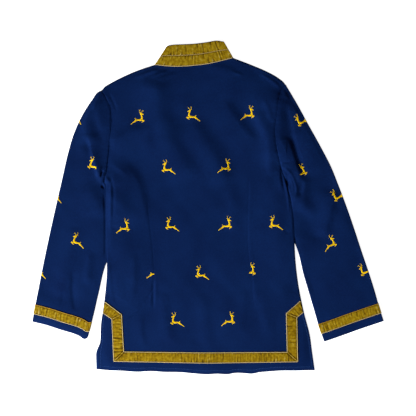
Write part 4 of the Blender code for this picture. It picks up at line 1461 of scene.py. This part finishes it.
# Lays plan points with a height onto a panel, or onto a sleeve and round its outer fold
def onCloth(part, points):
    x, y, rise = points.T
    if part == "back":
        return np.column_stack((x, y, backTop(x, y) + rise))
    if part == "front":
        return np.column_stack((x, y, np.maximum(frontFace(x, y) - rise, cloth["floorGap"])))
    line, outward = sleeveLines[part]["outer"], sleeves[part]["outward"]
    away, along, _, side = nearPath(line, x, y)
    inside = away * side * outward
    radius = cloth["sleeveHeight"] / 2
    lengths = lengthsAlong(line)
    edge = readLine(line, lengths, along)
    heading = unit(readLine(np.gradient(line, axis=0), lengths, along))
    inward = np.column_stack((heading[:, 1], -heading[:, 0])) * outward
    # The angle round the fold, 0 where the top starts and pi where the underside does
    angle = np.clip((radius - inside) / radius, 0, math.pi)
    depth = np.where(angle <= 0, inside, radius * (1 - np.sin(angle)))
    depth = np.where(angle >= math.pi, radius - inside - math.pi * radius, depth)
    folded = edge + inward * (depth - np.sin(angle) * rise)[:, None]
    base = sleeveBase(part, folded[:, 0], folded[:, 1])
    flat = sleeveTop(part, x, y) + rise
    around = base + radius + (radius + rise) * np.cos(angle)
    blend = smooth((inside - radius) / stitching["blend"])
    z = np.where(angle <= 0, around * (1 - blend) + flat * blend, around)
    spot = np.where((angle <= 0)[:, None], np.column_stack((x, y)), folded)
    return np.column_stack((spot, np.maximum(z, cloth["floorGap"])))


# The stitched pieces on the cloth: the stags, and lines of small stitches along the hem and up both vents
stitching = {
    "blend": 4.0,  # beside a sleeve's fold
    "length": 2.8,
    "width": 0.7,
    "height": 0.5,
    "pitch": 3.4,
    "fromEnds": 2.0,
    "fromEdge": 5.0,
    "hemUp": 8.0,
    "hem": (-240, 234),
    "belowVent": 16.0,
}


def stitchedPiece(shape, name):
    mesh = meshOf(shape, name)
    mesh.shade_smooth()
    return newObject(name, mesh)


def makeStags(part):
    shape = bmesh.new()
    strand = shape.verts.layers.float_vector.new("strand")
    for place in stagPlaces[part]:
        drawStag(shape, strand, *place)
    bmesh.ops.recalc_face_normals(shape, faces=shape.faces)
    points = onCloth(part, np.array([v.co[:] for v in shape.verts]))
    for vert, point in zip(shape.verts, points):
        vert.co = (point + offset) * 0.001
    return stitchedPiece(shape, f"stags_{part}")


def makeStitches():
    hem = fineLine(body["hem"], 120) + (0, stitching["hemUp"])
    lines = [hem[(hem[:, 0] > stitching["hem"][0]) & (hem[:, 0] < stitching["hem"][1])]]
    for sleeve in sleeves.values():
        side = fineLine(sleeve["side"], 120)
        vent = side[side[:, 1] < body["ventTop"] - stitching["belowVent"]]
        lines.append(vent + (-sleeve["outward"] * stitching["fromEdge"], 0))
    shape = bmesh.new()
    strand = shape.verts.layers.float_vector.new("strand")
    for line in lines:
        lengths = lengthsAlong(line)
        ends = stitching["fromEnds"]
        for stop in np.arange(ends, lengths[-1] - ends, stitching["pitch"]):
            (x, y), ahead = readLine(line, lengths, (stop, stop + 1))
            turn = math.atan2(ahead[1] - y, ahead[0] - x)
            z = float(backTop(np.array([x]), np.array([y]))[0])
            dot = bmesh.ops.create_icosphere(shape, subdivisions=1, radius=1.0)["verts"]
            for vert in dot:
                a, b = vert.co.x * stitching["length"] / 2, vert.co.y * stitching["width"] / 2
                vert[strand] = (a, b, 0)
                x1 = x + a * math.cos(turn) - b * math.sin(turn)
                y1 = y + a * math.sin(turn) + b * math.cos(turn)
                z1 = z + vert.co.z * stitching["height"] / 2
                vert.co = (np.array((x1, y1, z1)) + offset) * 0.001
    return stitchedPiece(shape, "hem_stitches")


# Camera straight above, and soft light from the lower left. Places and sizes here are in metres
view = {
    "across": 0.936,
    "lens": 100.0,
    "sensor": 36.0,
    "centre": (0.0, -0.7),  # in millimetres on the plan
    "above": 0.004,  # height at which the view is so wide
    "farthest": 20.0,
    "sun": {"from": (-0.72, -0.60, 0.37), "strength": 4.8, "angle": 12.0},
    "side": {"at": (-0.92, -1.15, 0.52), "size": 0.8, "power": 23.0},
    "sky": 0.06,
    "floorSize": 4.0,
    "floor": "#FBFBFB",
}

# Matt white paper that glows a little, so that it stays pale and even under the cloth's dark colours
paper = {
    "surface": {
        "Roughness": 0.9,
        "Emission Color": hexColour("#FFFFFF"),
        "Emission Strength": 0.93,
    }
}


def makeStage():
    camera = newObject("Camera", bpy.data.cameras.new("Camera"))
    camera.data.lens, camera.data.sensor_width = view["lens"], view["sensor"]
    distance = view["across"] * view["lens"] / view["sensor"]
    x, y = view["centre"][0] + offset[0], view["centre"][1] + offset[1]
    camera.location = (x * 0.001, y * 0.001, distance + view["above"])
    camera.data.clip_end = view["farthest"]
    bpy.context.scene.camera = camera
    bpy.context.scene.view_settings.view_transform = "Standard"  # colours come out as the hex values say
    shape = bmesh.new()
    bmesh.ops.create_grid(shape, x_segments=1, y_segments=1, size=view["floorSize"])
    floor = newObject("floor", meshOf(shape, "floor"))
    material, tree = newMaterial("pale studio floor")
    finishMaterial(tree, paper, hexColour(view["floor"]))
    floor.data.materials.append(material)
    sun = newObject("Sun", bpy.data.lights.new("Sun", "SUN"))
    sun.data.energy, sun.data.angle = view["sun"]["strength"], math.radians(view["sun"]["angle"])
    toward = -np.array(view["sun"]["from"])
    pitch = math.atan2(math.hypot(toward[0], toward[1]), -toward[2])
    sun.rotation_euler = (pitch, 0, math.atan2(toward[1], toward[0]) - math.pi / 2)
    side = newObject("Side softbox", bpy.data.lights.new("Side softbox", "AREA"))
    side.data.energy, side.data.size = view["side"]["power"], view["side"]["size"]
    side.location = view["side"]["at"]
    side.rotation_euler = (-side.location).to_track_quat("-Z", "Y").to_euler()
    world = bpy.data.worlds.new("Studio")
    bpy.context.scene.world = world
    world.use_nodes = True
    sky = world.node_tree.nodes["Background"].inputs
    sky["Color"].default_value, sky["Strength"].default_value = (1, 1, 1, 1), view["sky"]


makeStage()
print("stage and camera set")
back = give(makeBack(), cottonCloth, "navy_cotton", "back")
front = give(makeFront(), cottonCloth, "navy_cotton", "front")
print("panels laid")
for name in sleeves:
    give(makeSleeve(name), cottonCloth, "navy_cotton", f"sleeve_{name}")
print("sleeves laid")
collarPiece = give(makeCollar(), cottonCloth, "navy_cotton", "collar")
print("collar laid")
ribbons = {
    "hem_ribbon_back": makeHemRibbon("hem_ribbon_back_cloth", backTop, 11),
    "hem_ribbon_front": makeHemRibbon("hem_ribbon_front_cloth", underFront, 12),
    "cuff_ribbon_left": makeCuffRibbon("left", 13),
    "cuff_ribbon_right": makeCuffRibbon("right", 14),
    "collar_ribbon_upper": makeCollarRibbon("upper", 15),
    "collar_ribbon_lower": makeCollarRibbon("lower", 16),
}
for node, piece in ribbons.items():
    give(piece, velvetCloth, "olive_gold_velvet", node)
print("ribbons laid")
otherCords = {"cuff_piping_left_upper": "gold piping", "cuff_piping_right_upper": "gold piping"}
otherCords["collar_piping_middle"] = "dull piping"
for piece in makePipings():
    give(piece, silk[otherCords.get(piece.name, "piping")], "olive_gold_velvet")
stags = {part: give(makeStags(part), silk["gold thread"], "olive_gold_velvet") for part in stagPlaces}
stitches = give(makeStitches(), silk["navy thread"], "navy_cotton")
print("piping, stags and stitches laid")
